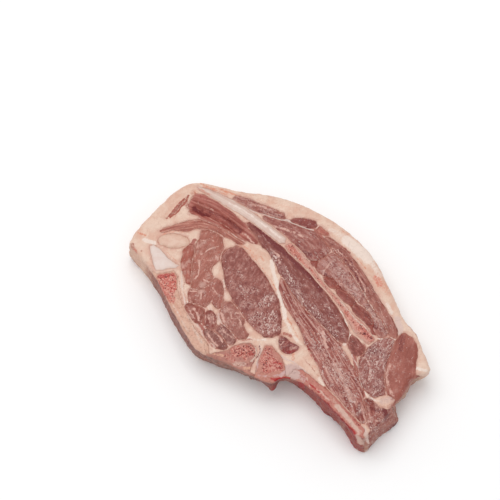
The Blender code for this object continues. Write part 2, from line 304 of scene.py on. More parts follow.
def scattered(line, step, keep_from, clear, edge_clear):
    """Points all over the slab on an uneven grid, clear of the outlines."""
    low, high = line.min(0), line.max(0)
    rows = np.arange(low[1], high[1], step * ROW_SHARE)
    columns = np.arange(low[0], high[0], step)
    grid_x, grid_y = np.meshgrid(columns, rows)
    grid_x[1::2] += step / 2
    grid = np.column_stack([grid_x.ravel(), grid_y.ravel()])
    jitter = np.random.default_rng(5).uniform(-JITTER, JITTER, grid.shape) * step
    grid = grid + jitter
    grid = grid[inside(line, grid)]
    grid = grid[distance(keep_from, grid) > clear]
    return grid[distance(slab_tree, grid) > edge_clear]


outlines = {name: cut_outline(name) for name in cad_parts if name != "fat"}
slab_line = union_outline([cut_outline("fat")] + [outlines[name] for name in SIDE_NODES])
slab_line = smooth_line(slab_line, 2.4)  # rounds off the corners of the flat sides
slab_line = frayed(smooth_line(slab_line, OUTLINE_STEP))
slab_tree = near([slab_line])
FIRM = ("neck_ligament", "spine_cartilage", "blade_cartilage", "blade_bone", *SIDE_NODES[:4])
SEAM = 0.7  # fat left between two muscles that all but touch
BONE_SEAM = 0.6
SWELL = 1.7  # the most that a muscle's outline moves
FIXED_SWELL = {"eye": 0.35, "wedge_upper": 0.7, "wedge_lower": 0.5, "small_muscle": 0.8, "cap_wedge": 0.3}
SLIM_BONE = ((28, 8), 12, 0.9)  # where the blade bone thins: centre, reach, depth
even_lines = {name: smooth_line(line, OUTLINE_STEP) for name, line in outlines.items()}
blade_edge = even_lines["blade_bone"]
centre, reach, depth = SLIM_BONE
thinned = depth * bell(blade_edge - np.array(centre), reach)
even_lines["blade_bone"] = smooth_line(blade_edge - outward(blade_edge) * thinned[:, None], OUTLINE_STEP)

# Outlines that the saw left a little beside the solid's: centre, reach and pull.
PULLS = {
    "blade_side_1": [((28, 18), 4, (-1.6, 1.0))],
    "blade_side_2": [((35, 9), 3, (-0.8, 1.2)), ((42, 0), 3, (1.2, -1.0))],
    "blade_side_3": [((44, -1), 3, (-0.8, 0.8)), ((51, -9), 4, (1.4, -3.0))],
    "blade_end": [((40, -20), 3, (-0.4, 1.2))],
    "neck_left": [((-50, 34), 3, (1.0, 2.0))],
    "strap": [((-29, -6), 4, (-0.8, 0))],
    "corner": [((60, -43), 9, (-1.6, 0))],
    "triceps": [((59, -43), 8, (-1.2, 0))],
    "eye": [((-30, 27), 6, (-0.8, 0.5))],
    "splinter_1": [((-47, -2), 2.5, (-1.5, 0.6)), ((-43, -8), 2.5, (0.6, -1.2))],
    "splinter_2": [((-37, -13), 3, (0.2, -1.5))],
    "splinter_3": [((-37, -16), 3, (-1.5, 1.0)), ((-30, -25), 3, (1.2, -0.8))],
    "splinter_4": [((-31, -15), 2.5, (-0.8, 1.2)), ((-25, -21), 2.5, (1.0, -1.5))],
}
for name, pulls in PULLS.items():
    line = even_lines[name]
    for centre, reach, pull in pulls:
        share = bell(line - np.array(centre), reach)
        line = line + share[:, None] * np.array(pull, float)
    even_lines[name] = smooth_line(line, OUTLINE_STEP)


def gap_to(line, owners):
    """How far the nearest of some pieces' outlines lies from each point of a line."""
    others = np.vstack([even_lines[owner] for owner in owners])
    return np.linalg.norm(line[:, None] - others[None], axis=2).min(1)


def swollen(name):
    """A muscle's outline, drawn out to its neighbours until thin seams are left. It keeps its place
    beside broad fat."""
    line = even_lines[name]
    soft_gap = gap_to(line, [other for other in even_lines if other != name and other not in FIRM])
    firm_gap = gap_to(line, FIRM)
    gap = np.minimum(soft_gap, firm_gap)
    drawn = np.minimum((soft_gap - SEAM) / 2, firm_gap - BONE_SEAM)
    drawn = np.clip(drawn, 0, FIXED_SWELL.get(name, SWELL)) * np.clip((7.5 - gap) / 3.5, 0.15, 1)
    if name in SIDE_NODES:
        drawn *= np.clip((distance(slab_tree, line) - 1) / 2, 0, 1)
    drawn = np.mean([np.roll(drawn, k) for k in range(-2, 3)], axis=0)
    return smooth_line((line + outward(line) * drawn[:, None])[::2], OUTLINE_STEP)


RUN_PAST = 3.0  # how far a piece that reaches the slab's side runs past it on the map
seam_lines = {}
for name in outlines:
    line = frayed(even_lines[name] if name in FIRM else swollen(name))
    if name in SIDE_NODES:
        close = distance(slab_tree, line) < 1.0
        line[close] += RUN_PAST * outward(line)[close]
    seam_lines[name] = line
seam_tree = near([line[inside(slab_line, line)] if name in SIDE_NODES else line
                  for name, line in seam_lines.items()])

# The upper face: every outline is kept, and the spaces are filled with fine points.
rim_lines = [slab_line - outward(slab_line) * depth for depth in RIM_ROWS]
loose = scattered(slab_line, GRAIN, seam_tree, CLEAR, RIM_ROWS[-1] + CLEAR)
map_points, map_rings = [], []
for line in [slab_line, *seam_lines.values()]:
    map_rings.append(list(range(len(map_points), len(map_points) + len(line))))
    map_points += line.tolist()
for extra in (*rim_lines, loose):
    clear_of_seams = distance(seam_tree, extra) > 0.2
    map_points += extra[clear_of_seams].tolist()
map_corners = [Vector(p) for p in map_points]
places, _, faces, _, _, rings_round = delaunay_2d_cdt(map_corners, [], map_rings, 0, SAME_POINT)
upper_plan = np.array([p[:2] for p in places])
names = list(seam_lines)
upper_faces, upper_owner = [], []
for face, sources in zip(faces, rings_round):
    if 0 in sources:  # the slab's own outline; a face outside it belongs to nothing
        inner = [i - 1 for i in sources if i > 0]
        upper_faces.append(face)
        upper_owner.append(names[min(inner)] if inner else "fat")

# Which map edges are seams between two pieces, and which lie on the slab's outline.
owner_of = {}
for face, owner in zip(upper_faces, upper_owner):
    for start, end in zip(face, face[1:] + face[:1]):
        owner_of[start, end] = owner
seam_edges = [(a, b) for (a, b), owner in owner_of.items() if owner_of.get((b, a), owner) != owner]
slab_edges = [(a, b) for a, b in owner_of if (b, a) not in owner_of]
on_slab = sorted({i for edge in slab_edges for i in edge})
on_lines = sorted({i for edge in seam_edges + slab_edges for i in edge})


def smoothstep(value, low=0.0, high=1.0):
    """0 below the low value, 1 above the high one, and smooth between them."""
    share = np.clip((value - low) / (high - low), 0, 1)
    return share * share * (3 - 2 * share)


def rounding(points):
    """The radius of the slab's edge near points."""
    radius = np.full(len(points), PLAIN_ROUND)
    for centre, reach, added in ROUNDS:
        radius += added * bell(points - np.array(centre), reach)
    return radius


def rim_drop(rim, radius):
    """How far a rounded edge falls at a distance from the outline."""
    left = np.clip(radius - rim, 0, None)
    return radius - np.sqrt(np.clip(radius**2 - left**2, 0, None))


# The lower face: the same seams, with coarser points between them.
line_places = upper_plan[on_lines]
number_of = {point: k for k, point in enumerate(on_lines)}
under_rims = [slab_line - outward(slab_line) * depth for depth in UNDER_RIM_ROWS]
under_loose = scattered(slab_line, UNDER_GRAIN, seam_tree, 2 * CLEAR, 1.5)
under_extra = np.vstack([row[distance(seam_tree, row) > 2 * CLEAR] for row in (*under_rims, under_loose)])
under_edges = {frozenset((number_of[a], number_of[b])) for a, b in seam_edges + slab_edges}
under_corners = [Vector(p) for p in np.vstack([line_places, under_extra]).tolist()]
places, _, faces, made_from, _, _ = delaunay_2d_cdt(
    under_corners, [tuple(edge) for edge in under_edges], [], 0, 1e-6,
)
under_plan = np.array([p[:2] for p in places])
under_twin = {}
for made, sources in enumerate(made_from):
    for source in sources:
        if source < len(on_lines):
            under_twin[on_lines[source]] = made
flat_map = BVHTree.FromPolygons([(x, y, 0) for x, y in upper_plan.tolist()], upper_faces)
under_faces, under_owner = [], []
for face in faces:
    x, y = under_plan[list(face)].mean(0)
    hit = flat_map.ray_cast(Vector((x, y, 1)), Vector((0, 0, -1)))[2]
    if hit is not None:
        under_faces.append(face)
        under_owner.append(upper_owner[hit])

# Heights of both faces, then the rings of points down the slab's side. The faces swell a little,
# sink along the seams and are rounded at the rim.
SEAM_DEPTH = 0.1
SEAM_REACH = 0.4
upper_seam = distance(seam_tree, upper_plan)
upper_rim = distance(slab_tree, upper_plan)
upper_seam[sorted({i for edge in seam_edges for i in edge})] = 0
upper_rim[on_slab] = 0
under_seam = distance(seam_tree, under_plan)
under_rim = distance(slab_tree, under_plan)
for point, made in under_twin.items():
    under_seam[made] = upper_seam[point]
    under_rim[made] = upper_rim[point]
upper_height = TOP + 0.14 * noise_at(upper_plan, 24, 5) + 0.06 * noise_at(upper_plan, 6, 6)
upper_height -= SEAM_DEPTH * np.exp(-((upper_seam / SEAM_REACH) ** 2))
upper_height -= rim_drop(upper_rim, rounding(upper_plan))
under_height = 0.12 * smoothstep(noise_at(under_plan, 9, 7), 0, 0.6)
under_height += 0.5 * rim_drop(under_rim, rounding(under_plan))
columns = {point: k for k, point in enumerate(on_slab)}
side_plan = upper_plan[on_slab]
fine_slab = smooth_line(slab_line, FINE_STEP)
fine_out = sum(np.roll(outward(fine_slab), k, 0) for k in range(-12, 13))
fine_out /= np.linalg.norm(fine_out, axis=1)[:, None]
side_out = fine_out[[slab_tree.find((x, y, 0))[1] for x, y in side_plan.tolist()]]
side_top = upper_height[on_slab]
side_bottom = np.array([under_height[under_twin[point]] for point in on_slab])
levels = np.linspace(0, 1, RINGS + 2)[1:-1]
ring_height = side_top[:, None] * (1 - levels) + side_bottom[:, None] * levels
ring_plan = np.repeat(side_plan, RINGS, 0)
ring_out = np.repeat(side_out, RINGS, 0)
ring_height = ring_height.ravel()
ring_level = np.tile(levels, len(on_slab))
ring_start = np.column_stack([ring_plan, ring_height])


def side_relief(start, level):
    """How far the slab's side stands out: a soft bulge between the two faces, with lobes, upright
    folds and fine lumps on it."""
    bulge = np.sin(level * math.pi)
    lobes = smoothstep(noise_at(start, 5.5, 8), -0.7, 0.8) - 0.5
    lumps = noise_at(start, 1.4, 9)
    folds = noise_at(start * (1, 1, 0.3), 2.6, 10)
    return (0.9 * lobes + 0.3 * lumps + 0.55 * folds + 0.7 * bulge) * bulge**0.5


ring_shift = side_relief(ring_start, ring_level)[:, None] * ring_out
ring_drop = np.repeat(side_top, RINGS) - ring_height

# One pool of points for all pieces: the upper face, the lower face, the rings of the side.
FIRST_UNDER = len(upper_plan)
FIRST_RING = len(upper_plan) + len(under_plan)
pool_plan = np.vstack([upper_plan, under_plan, ring_plan])
pool_seam = np.concatenate([upper_seam, under_seam, distance(seam_tree, ring_plan)])
pool_rim = np.concatenate([upper_rim, under_rim, np.zeros(len(ring_plan))])
ring_rise = ring_height - np.repeat(side_bottom, RINGS)
ring_side = smoothstep(np.minimum(ring_drop, ring_rise), 0, 1.2)
pool_side = np.concatenate([np.zeros(FIRST_RING), ring_side])
pool_height = np.concatenate([upper_height, under_height, ring_height])
pool_place = pool_plan + lean_of(pool_plan, pool_height)
pool_place[FIRST_RING:] += ring_shift

# The sawn and torn side is ragged where it meets the table, and most of all under the flap.
TORN_EDGE = [(-75, 24), (-46, -28), (-18, -40), (0, -44), (20, -53), (44, -79), (57, -71), (64, -62)]
TORN_REACH = 4
TORN_FLAP = ((60, -66), 7, 1.2)  # centre, reach, added raggedness
torn_edge = smooth_line(TORN_EDGE, 2.0, closed=False)
torn = np.min([np.linalg.norm(pool_plan - place, axis=1) for place in torn_edge], axis=0)
torn = np.exp(-((torn / TORN_REACH) ** 2)) * (1 - 0.75 * pool_height / THICKNESS)
centre, reach, added = TORN_FLAP
torn *= 1 + added * bell(pool_plan - np.array(centre), reach)
pool_spot = np.column_stack([pool_plan, pool_height * 0.6])
for axis in (0, 1):
    ragged = 0.5 * noise_at(pool_spot, 1.5, 55 + axis) + 0.6 * noise_at(pool_spot, 4.0, 57 + axis)
    pool_place[:, axis] += torn * ragged

# The torn ends spread as they lie on the table: centre, reach, shift at the bottom.
SPREADS = (
    ((-31, -35), 5, (-0.5, -1.6)),
    ((44, -76), 7, (0.5, -2.0)),
    ((62, -64), 5, (4.5, 0.0)),
    ((74, -48), 7, (2.0, -1.5)),
    ((65.3, -55.8), 2.6, (-5.2, 1.0)),
)
for centre, reach, shift in SPREADS:
    share = bell(pool_plan - np.array(centre), reach) * (1 - pool_height / THICKNESS)
    pool_place += share[:, None] * np.array(shift, float)

# Shreds that the saw left hanging: centre, reach, how far they stand out.
SHREDS = (
    ((-3.6, -45.5, 11), 1.9, (0.3, -4.6)),
    ((63, -57.5, 9), 1.6, (-1.8, 1.0)),
    ((-15, -42.5, 10), 0.7, (0, -1.8)),
)
SHRED_HEIGHT = 4.5
for centre, reach, shift in SHREDS:
    flat = ((pool_plan - np.array(centre[:2])) ** 2).sum(1) / (2 * reach**2)
    share = np.exp(-flat - ((pool_height - centre[2]) / SHRED_HEIGHT) ** 2)
    pool_place += share[:, None] * np.array(shift, float)


def column(point):
    """The pool's points from a point of the upper face straight down to the lower face."""
    rings = []
    if point in columns:
        first = FIRST_RING + columns[point] * RINGS
        rings = list(range(first, first + RINGS))
    return [point, *rings, FIRST_UNDER + under_twin[point]]


smooth_faces, wall_faces = {}, {}
for face, owner in zip(upper_faces, upper_owner):
    smooth_faces.setdefault(owner, []).append(tuple(face))
for face, owner in zip(under_faces, under_owner):
    smooth_faces[owner].append(tuple(FIRST_UNDER + i for i in reversed(face)))
for a, b in slab_edges:
    left, right = column(a), column(b)
    quads = zip(left, left[1:], right[1:], right)
    smooth_faces[owner_of[a, b]] += quads
for a, b in seam_edges:
    wall_faces.setdefault(owner_of[a, b], []).append(tuple(column(a) + column(b)[::-1]))


def line_distance(points, line):
    """Distance of points to an open line, how far along it the nearest place lies, and on which side."""
    best = np.full(len(points), 1e9)
    along = np.zeros(len(points))
    side = np.zeros(len(points))
    run = 0.0
    for a, b in zip(line, line[1:]):
        step = b - a
        length = math.hypot(*step)
        share = ((points - a) @ step) / length**2
        held = np.clip(share, 0, 1)
        away = np.linalg.norm(points - a - held[:, None] * step, axis=1)
        across = (points - a) @ np.array([-step[1], step[0]]) / length
        nearer = away < best
        best[nearer] = away[nearer]
        along[nearer] = run + length * held[nearer]
        side[nearer] = across[nearer]
        run += length
    return best, along, side


FRAY = 0.35  # how far the edges of stains and membranes waver
STAIN_DEPTH = (1.5, 5.0)  # under a cut face, where its stains begin to fade and where they end
THIN = 1.5  # thinner strokes are broken along their length


def painted(plan, height, strokes):
    """How strongly strokes cover points. A stroke is its half width, its strength and the points of
    its line; one whose points have two coordinates lies on both cut faces."""
    buried = np.minimum(height, THICKNESS - height) + 1.2 * noise_at(plan, 2.5, 25)
    on_face = 1 - smoothstep(buried, *STAIN_DEPTH)
    loose = plan + FRAY * np.column_stack([noise_at(plan, 1.3, 21), noise_at(plan, 1.3, 22)])
    loose += 1.6 * FRAY * np.column_stack([noise_at(plan, 4.0, 23), noise_at(plan, 4.0, 24)])
    broken = np.clip(0.8 + 0.5 * noise_at(plan, 1.7, 26), 0.2, 1)
    cover = np.zeros(len(plan))
    for width, strength, *line in strokes:
        line = np.array(line, float)
        points = np.column_stack([loose, height]) if line.shape[1] == 3 else loose
        if len(line) == 1:
            away = np.linalg.norm(points - line[0], axis=1)
        elif line.shape[1] == 3:
            spots = smooth_line(line, 0.5, closed=False)
            away = np.min([np.linalg.norm(points - spot, axis=1) for spot in spots], axis=0)
        else:
            route = smooth_line(line, 1.0, closed=False) if len(line) > 2 else line
            away = line_distance(points, route)[0]
        share = (1.0 if points.shape[1] == 3 else on_face) * (broken if width < THIN else 1.0)
        cover = np.maximum(cover, strength * share * (1 - smoothstep(away, width * 0.35, width * 1.15)))
    return cover


def grain_along(line):
    """A flow that follows a centre line: how far along it, and how far to its side."""
    centre = smooth_line(np.array(line, float), 2.0, closed=False)

    def flow(points):
        """Along the line and across it, for each point."""
        _, along, side = line_distance(points, centre)
        return np.column_stack([along, side])
    return flow


def grain_turned(degrees):
    """A flow in one direction, given from +X."""
    cos, sin = math.cos(math.radians(degrees)), math.sin(math.radians(degrees))
    return lambda points: points @ np.array([[cos, -sin], [sin, cos]])


SEAM_SLOPE = 1.6  # from a seam to where a piece has its full height


def cut_piece(name, slot, finish, relief=None, flow=None, raised=0.0, fields=None, **strokes):
    """A closed piece of the slab. relief gives extra height of its upper face, flow the way that its
    fibres run, fields a table of values by place, and each further argument names a mask and the
    strokes that paint it."""
    faces = smooth_faces[name] + wall_faces.get(name, [])
    used = np.unique(np.array([i for face in faces for i in face]))
    place_of = np.full(len(pool_plan), -1)
    place_of[used] = np.arange(len(used))
    plan, seam, rim = pool_plan[used], pool_seam[used], pool_rim[used]
    height = pool_height[used].copy()
    on_top = used < FIRST_UNDER
    fade = smoothstep(np.minimum(seam, np.abs(rim)), 0, SEAM_SLOPE)[on_top]
    lift = np.full(on_top.sum(), float(raised))
    if relief:
        lift += relief(plan[on_top])
    height[on_top] = np.minimum(height[on_top] + fade * lift, HIGHEST)
    places = np.column_stack([pool_place[used], height]) * MM
    mesh = bpy.data.meshes.new(name + "_cut")
    mesh.from_pydata(places.tolist(), [], [[int(place_of[i]) for i in face] for face in faces])
    smooth = np.ones(len(faces), bool)
    smooth[len(smooth_faces[name]):] = False
    mesh.polygons.foreach_set("use_smooth", smooth)
    mesh.update(calc_edges=True)
    masks = {"seam": seam, "side": pool_side[used], **(fields(plan) if fields else {})}
    masks |= {label: painted(plan, height, list(lines)) for label, lines in strokes.items()}
    for label, values in masks.items():
        mesh.attributes.new(label, "FLOAT", "POINT").data.foreach_set("value", values.astype(np.float32))
    runs = np.column_stack([(flow or (lambda points: points))(plan), height])
    store = mesh.attributes.new("flow", "FLOAT_VECTOR", "POINT")
    store.data.foreach_set("vector", runs.astype(np.float32).ravel())
    made = bpy.data.objects.new(name + "_cut", mesh)
    bpy.context.scene.collection.objects.link(made)
    mesh.materials.append(finish)
    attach(made, "root")
    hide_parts(name)
    return made


# ---- Fat ------------------------------------------------------------------------------------
# One body of soft fat: a thick cream cover on the outside of the shoulder, and the seams that run
# inwards between the muscles. It is peach where it is thin, and stained where small vessels bled.
SHEEN = 0.046  # the white that the moist surface mirrors, as a share of full white
DARKEST = 0.004  # the least that a base colour reflects


def colour_of(paint):
    """The base colour that comes out as a paint of three sRGB values from 0 to 255."""
    linear = [((c / 255 + 0.055) / 1.055) ** 2.4 for c in paint]
    return (*[max(c - SHEEN, DARKEST) for c in linear], 1.0)


def add(tree, kind, sockets=None, **settings):
    """A shader node. A socket is given a value, or another node's output to link to."""
    made = tree.nodes.new("ShaderNode" + kind)
    for key, value in settings.items():
        setattr(made, key, value)
    for key, value in (sockets or {}).items():
        if isinstance(value, bpy.types.NodeSocket):
            tree.links.new(value, made.inputs[key])
        else:
            made.inputs[key].default_value = value
    return made


def calc(tree, operation, first, second=0.0):
    """The result of a sum on two values or sockets."""
    return add(tree, "Math", {0: first, 1: second}, operation=operation).outputs[0]


def product(tree, first, *others):
    """All the values multiplied, with one node for each step."""
    for other in others:
        first = calc(tree, "MULTIPLY", first, other)
    return first


def total(tree, first, *others):
    """All the values added up, with one node for each step."""
    for other in others:
        first = calc(tree, "ADD", first, other)
    return first


def fade(tree, value, low, high):
    """0 where the value is low, 1 where it is high, and smooth between them."""
    limits = {"Value": value, "From Min": low, "From Max": high}
    return add(tree, "MapRange", limits, interpolation_type="SMOOTHSTEP").outputs["Result"]


def over(tree, share, under, top):
    """One colour laid over another."""
    inputs = {0: share, 6: under, 7: top}
    inputs = {k: colour_of(v) if isinstance(v, tuple) and len(v) == 3 else v for k, v in inputs.items()}
    return add(tree, "Mix", inputs, data_type="RGBA").outputs[2]


def effect(name, inputs, outputs):
    """An empty node group with named sockets: the group, what enters it and what leaves it."""
    group = bpy.data.node_groups.new(name, "ShaderNodeTree")
    for label, kind in inputs.items():
        group.interface.new_socket(label, in_out="INPUT", socket_type="NodeSocket" + kind)
    for label in outputs:
        group.interface.new_socket(label, in_out="OUTPUT", socket_type="NodeSocketFloat")
    return group, group.nodes.new("NodeGroupInput").outputs, group.nodes.new("NodeGroupOutput").inputs


def noise_node(tree, place, detail=2.0, distortion=0.0):
    """Cloudy noise from 0 to 1, whose patches are about one unit of the place wide."""
    settings = {"Vector": place, "Scale": 1.0, "Detail": detail, "Distortion": distortion}
    return add(tree, "TexNoise", settings).outputs["Fac"]


def shrunk(tree, place, size):
    """The place, divided by a size: a number or a socket."""
    share = calc(tree, "DIVIDE", 1.0, size)
    return add(tree, "VectorMath", {0: place, "Scale": share}, operation="SCALE").outputs[0]


# Soft patches: large ones, and the grain inside them.
mottle_effect, enter, leave = effect(
    "soft_patches", {"Place": "Vector", "Size": "Float"}, ["Patches", "Grain"]
)
tree = mottle_effect
coarse = noise_node(tree, shrunk(tree, enter["Place"], enter["Size"]), detail=3.0, distortion=0.4)
fine = noise_node(tree, shrunk(tree, enter["Place"], 0.7), detail=2.0)
tree.links.new(fade(tree, coarse, 0.36, 0.64), leave["Patches"])
tree.links.new(fade(tree, fine, 0.3, 0.7), leave["Grain"])

# Streaks that follow the fibres.
streak_effect, enter, leave = effect(
    "fibre_streaks",
    {"Flow": "Vector", "Length": "Float", "Width": "Float", "Level": "Float"},
    ["Streaks", "Relief"],
)
tree = streak_effect
parts = add(tree, "SeparateXYZ", {0: enter["Flow"]}).outputs
stretched = add(tree, "CombineXYZ", {
    0: calc(tree, "DIVIDE", parts[0], enter["Length"]),
    1: calc(tree, "DIVIDE", parts[1], product(tree, enter["Width"], 1.3)),
    2: calc(tree, "DIVIDE", parts[2], 4.0),
}).outputs[0]
fibres = noise_node(tree, stretched, detail=3.0, distortion=0.25)
tree.links.new(fade(tree, calc(tree, "SUBTRACT", fibres, enter["Level"]), -0.02, 0.06), leave["Streaks"])
tree.links.new(fibres, leave["Relief"])

# Short curled marks, as the cut ends of coarse fibre bundles show.
curl_effect, enter, leave = effect(
    "curled_marks", {"Place": "Vector", "Size": "Float", "Cover": "Float"}, ["Curls"]
)
tree = curl_effect
bent_size = product(tree, enter["Size"], 1.3)
bent = noise_node(tree, shrunk(tree, enter["Place"], bent_size), detail=1.5, distortion=1.1)
line_share = fade(tree, calc(tree, "ABSOLUTE", calc(tree, "SUBTRACT", bent, 0.5)), 0.1, 0.04)
patch = noise_node(tree, shrunk(tree, enter["Place"], 4.0), detail=2.0)
kept = fade(tree, total(tree, patch, enter["Cover"]), 0.75, 1.05)
tree.links.new(product(tree, line_share, kept), leave["Curls"])

# Tiny specks: pores in bone, and on meat the painted highlights of beads of moisture.
speck_effect, enter, leave = effect(
    "pores_and_painted_beads", {"Place": "Vector", "Size": "Float", "Cover": "Float"}, ["Specks"]
)
tree = speck_effect
cells = add(tree, "TexVoronoi", {"Vector": shrunk(tree, enter["Place"], enter["Size"]), "Scale": 1.0})
chance = add(tree, "SeparateColor", {0: cells.outputs["Color"]}).outputs[0]
dots = fade(tree, cells.outputs["Distance"], 0.42, 0.12)
chosen = fade(tree, total(tree, chance, enter["Cover"]), 0.97, 1.03)
tree.links.new(product(tree, dots, chosen), leave["Specks"])

# Painted highlights: small bright patches laid into the colour where moisture stands on uneven meat.
painted_glint_effect, enter, leave = effect(
    "painted_wet_glints", {"Place": "Vector", "Size": "Float", "Cover": "Float"}, ["Glints"]
)
tree = painted_glint_effect
parts = add(tree, "SeparateXYZ", {0: enter["Place"]}).outputs
stretched = add(tree, "CombineXYZ", {
    0: calc(tree, "DIVIDE", parts[0], product(tree, enter["Size"], 2.8)),
    1: calc(tree, "DIVIDE", parts[1], product(tree, enter["Size"], 1.35)),
    2: parts[2],
}).outputs[0]
wet_lines = fade(tree, noise_node(tree, stretched, detail=1.5, distortion=1.2), 0.54, 0.61)
broken = fade(tree, noise_node(tree, shrunk(tree, enter["Place"], 0.9), detail=1.0), 0.35, 0.55)
wet_area = noise_node(tree, shrunk(tree, enter["Place"], 4.5), detail=2.0)
wet_share = fade(tree, total(tree, wet_area, enter["Cover"]), 0.7, 1.0)
wet_share = product(tree, wet_share, broken)
tree.links.new(product(tree, wet_lines, wet_share), leave["Glints"])

# Thin layers that show on the slab's side.
layer_effect, enter, leave = effect("side_layers", {"Place": "Vector"}, ["Lines", "Flecks"])
tree = layer_effect
parts = add(tree, "SeparateXYZ", {0: enter["Place"]}).outputs
layered = add(tree, "CombineXYZ", {
    0: calc(tree, "DIVIDE", parts[0], 3.6),
    1: calc(tree, "DIVIDE", parts[1], 3.6),
    2: calc(tree, "DIVIDE", parts[2], 1.9),
}).outputs[0]
layer_noise = noise_node(tree, layered, detail=3.0, distortion=0.3)
tree.links.new(fade(tree, layer_noise, 0.42, 0.66), leave["Lines"])
fleck_noise = noise_node(tree, shrunk(tree, enter["Place"], 1.3), detail=3.0)
tree.links.new(fade(tree, fleck_noise, 0.5, 0.72), leave["Flecks"])

# A painted mask whose edge frays into the tissue round it.
fray_effect, enter, leave = effect(
    "frayed_mask", {"Mask": "Float", "Place": "Vector", "Size": "Float"}, ["Mask"]
)
tree = fray_effect
ragged = noise_node(tree, shrunk(tree, enter["Place"], enter["Size"]), detail=3.0)
pushed = total(tree, enter["Mask"], product(tree, calc(tree, "SUBTRACT", ragged, 0.5), 0.9))
present = fade(tree, enter["Mask"], 0.0, 0.12)
tree.links.new(product(tree, fade(tree, pushed, 0.2, 0.75), present), leave["Mask"])


def place_group(tree, group, sockets):
    """What an effect puts out, with its inputs set or linked."""
    return add(tree, "Group", sockets, node_tree=group).outputs


def start_finish(name):
    """A material with the places that its effects need: the tree, the flow of the fibres and the seam."""
    finish = bpy.data.materials.new(name)
    finish.use_nodes = True
    tree = finish.node_tree
    flow = add(tree, "Attribute", attribute_name="flow").outputs["Vector"]
    seam = add(tree, "Attribute", attribute_name="seam").outputs["Fac"]
    side = add(tree, "Attribute", attribute_name="side").outputs["Fac"]
    return finish, tree, flow, seam, side


def lay_masks(tree, colour, flow, masks):
    """Lays each painted mask of the mesh over the colour in its own paint."""
    for label, paint in masks.items():
        mask = add(tree, "Attribute", attribute_name=label).outputs["Fac"]
        frayed_mask = place_group(tree, fray_effect, {"Mask": mask, "Place": flow, "Size": 0.8})["Mask"]
        colour = over(tree, frayed_mask, colour, paint)
    return colour


SIDE_SEAM = (168, 112, 98)


def lay_side(tree, colour, flow, seam, side, paint, share, torn, reach=2.6):
    """The slab's side in its own paint, with layers and flecks in it. Within reach of a seam it goes
    over to one paint, and torn is how strongly the layers show."""
    layers = place_group(tree, layer_effect, {"Place": flow})
    colour = over(tree, product(tree, side, share), colour, paint)
    met = fade(tree, total(tree, seam, product(tree, layers["Lines"], 2.0)), reach, 0.5)
    colour = over(tree, product(tree, side, met, 0.9), colour, SIDE_SEAM)
    lined = product(tree, side, layers["Lines"], torn)
    colour = over(tree, lined, colour, tuple(round(c * 0.74) for c in paint))
    flecked = product(tree, side, layers["Flecks"], torn * 0.8)
    return over(tree, flecked, colour, tuple(round(c * 0.5 + 98) for c in paint))


def end_finish(finish, tree, colour, rough, height, depth):
    """Joins colour, roughness and relief to the shader. depth is the relief's, in mm."""
    shader = tree.nodes["Principled BSDF"]
    tree.links.new(colour, shader.inputs["Base Color"])
    tree.links.new(rough, shader.inputs["Roughness"])
    bump = add(tree, "Bump", {"Height": height, "Distance": depth * MM, "Strength": 1.0})
    tree.links.new(bump.outputs["Normal"], shader.inputs["Normal"])
    return finish


FAT_CREAM = (226, 196, 178)
FAT_PEACH = (214, 168, 148)
FAT_PALE = (232, 208, 190)
FAT_GRAIN = (198, 146, 128)
FAT_SEAM = (204, 156, 142)
NARROW_SEAM = (172, 112, 101)
SEAM_THREAD = (220, 186, 174)
FAT_SIDE = (214, 174, 152)
fat_finish, tree, flow, seam, side = start_finish("fat")
patches = place_group(tree, mottle_effect, {"Place": flow, "Size": 9.0})
lobes = place_group(tree, mottle_effect, {"Place": flow, "Size": 2.6})
colour = over(tree, product(tree, patches["Patches"], 0.75), FAT_CREAM, FAT_PEACH)
colour = over(tree, product(tree, lobes["Patches"], 0.3), colour, FAT_PALE)
colour = over(tree, product(tree, patches["Grain"], 0.12), colour, FAT_GRAIN)
ragged_seam = total(tree, seam, product(tree, lobes["Patches"], 0.8))
colour = over(tree, product(tree, fade(tree, ragged_seam, 2.4, 0.3), 0.6), colour, FAT_SEAM)
narrow = add(tree, "Attribute", attribute_name="narrow").outputs["Fac"]
ridge = add(tree, "Attribute", attribute_name="ridge").outputs["Fac"]
thread = fade(tree, total(tree, ridge, product(tree, lobes["Patches"], 0.5)), 0.9, 0.25)
seam_colour = over(tree, product(tree, thread, 0.85), NARROW_SEAM, SEAM_THREAD)
colour = over(tree, product(tree, narrow, 0.85), colour, seam_colour)
colour = lay_side(tree, colour, flow, seam, side, FAT_SIDE, 0.6, 0.2, 5.0)
colour = lay_masks(tree, colour, flow, {
    "light": (232, 212, 200),
    "lean": (170, 108, 98),
    "deep_lean": (150, 86, 78),
    "blush": (212, 142, 118),
    "tissue": (170, 100, 88),
    "milky": (214, 186, 176),
    "lilac": (204, 172, 164),
    "thread": (224, 192, 178),
    "rose": (206, 118, 102),
    "blood": (168, 52, 46),
    # Painted shade: dark where the fat has small pits.
    "pit": (124, 76, 76),
})
sheen = total(tree, product(tree, lobes["Grain"], 0.2), 0.36)
relief = total(tree, lobes["Patches"], product(tree, patches["Grain"], 0.35))
end_finish(fat_finish, tree, colour, sheen, relief, 0.22)

firm_tree = near([seam_lines[name] for name in FIRM])


def seam_fields(places):
    """Where the fat is only a narrow seam, and how far a place lies from the seam's middle."""
    nearest, second = np.full((2, len(places)), 99.0)
    firm = distance(firm_tree, places)
    for name, line in seam_lines.items():
        if name in FIRM:
            continue
        close = ((places > line.min(0) - 4) & (places < line.max(0) + 4)).all(1)
        if close.any():
            away = np.full(len(places), 99.0)
            away[close] = np.linalg.norm(places[close][:, None] - line[None], axis=2).min(1)
            second = np.minimum(second, np.maximum(nearest, away))
            nearest = np.minimum(nearest, away)
    narrow = (1 - smoothstep(nearest + second, 1.7, 3.0)) * smoothstep(firm, 0.5, 1.5)
    return {"narrow": narrow, "ridge": second - nearest}


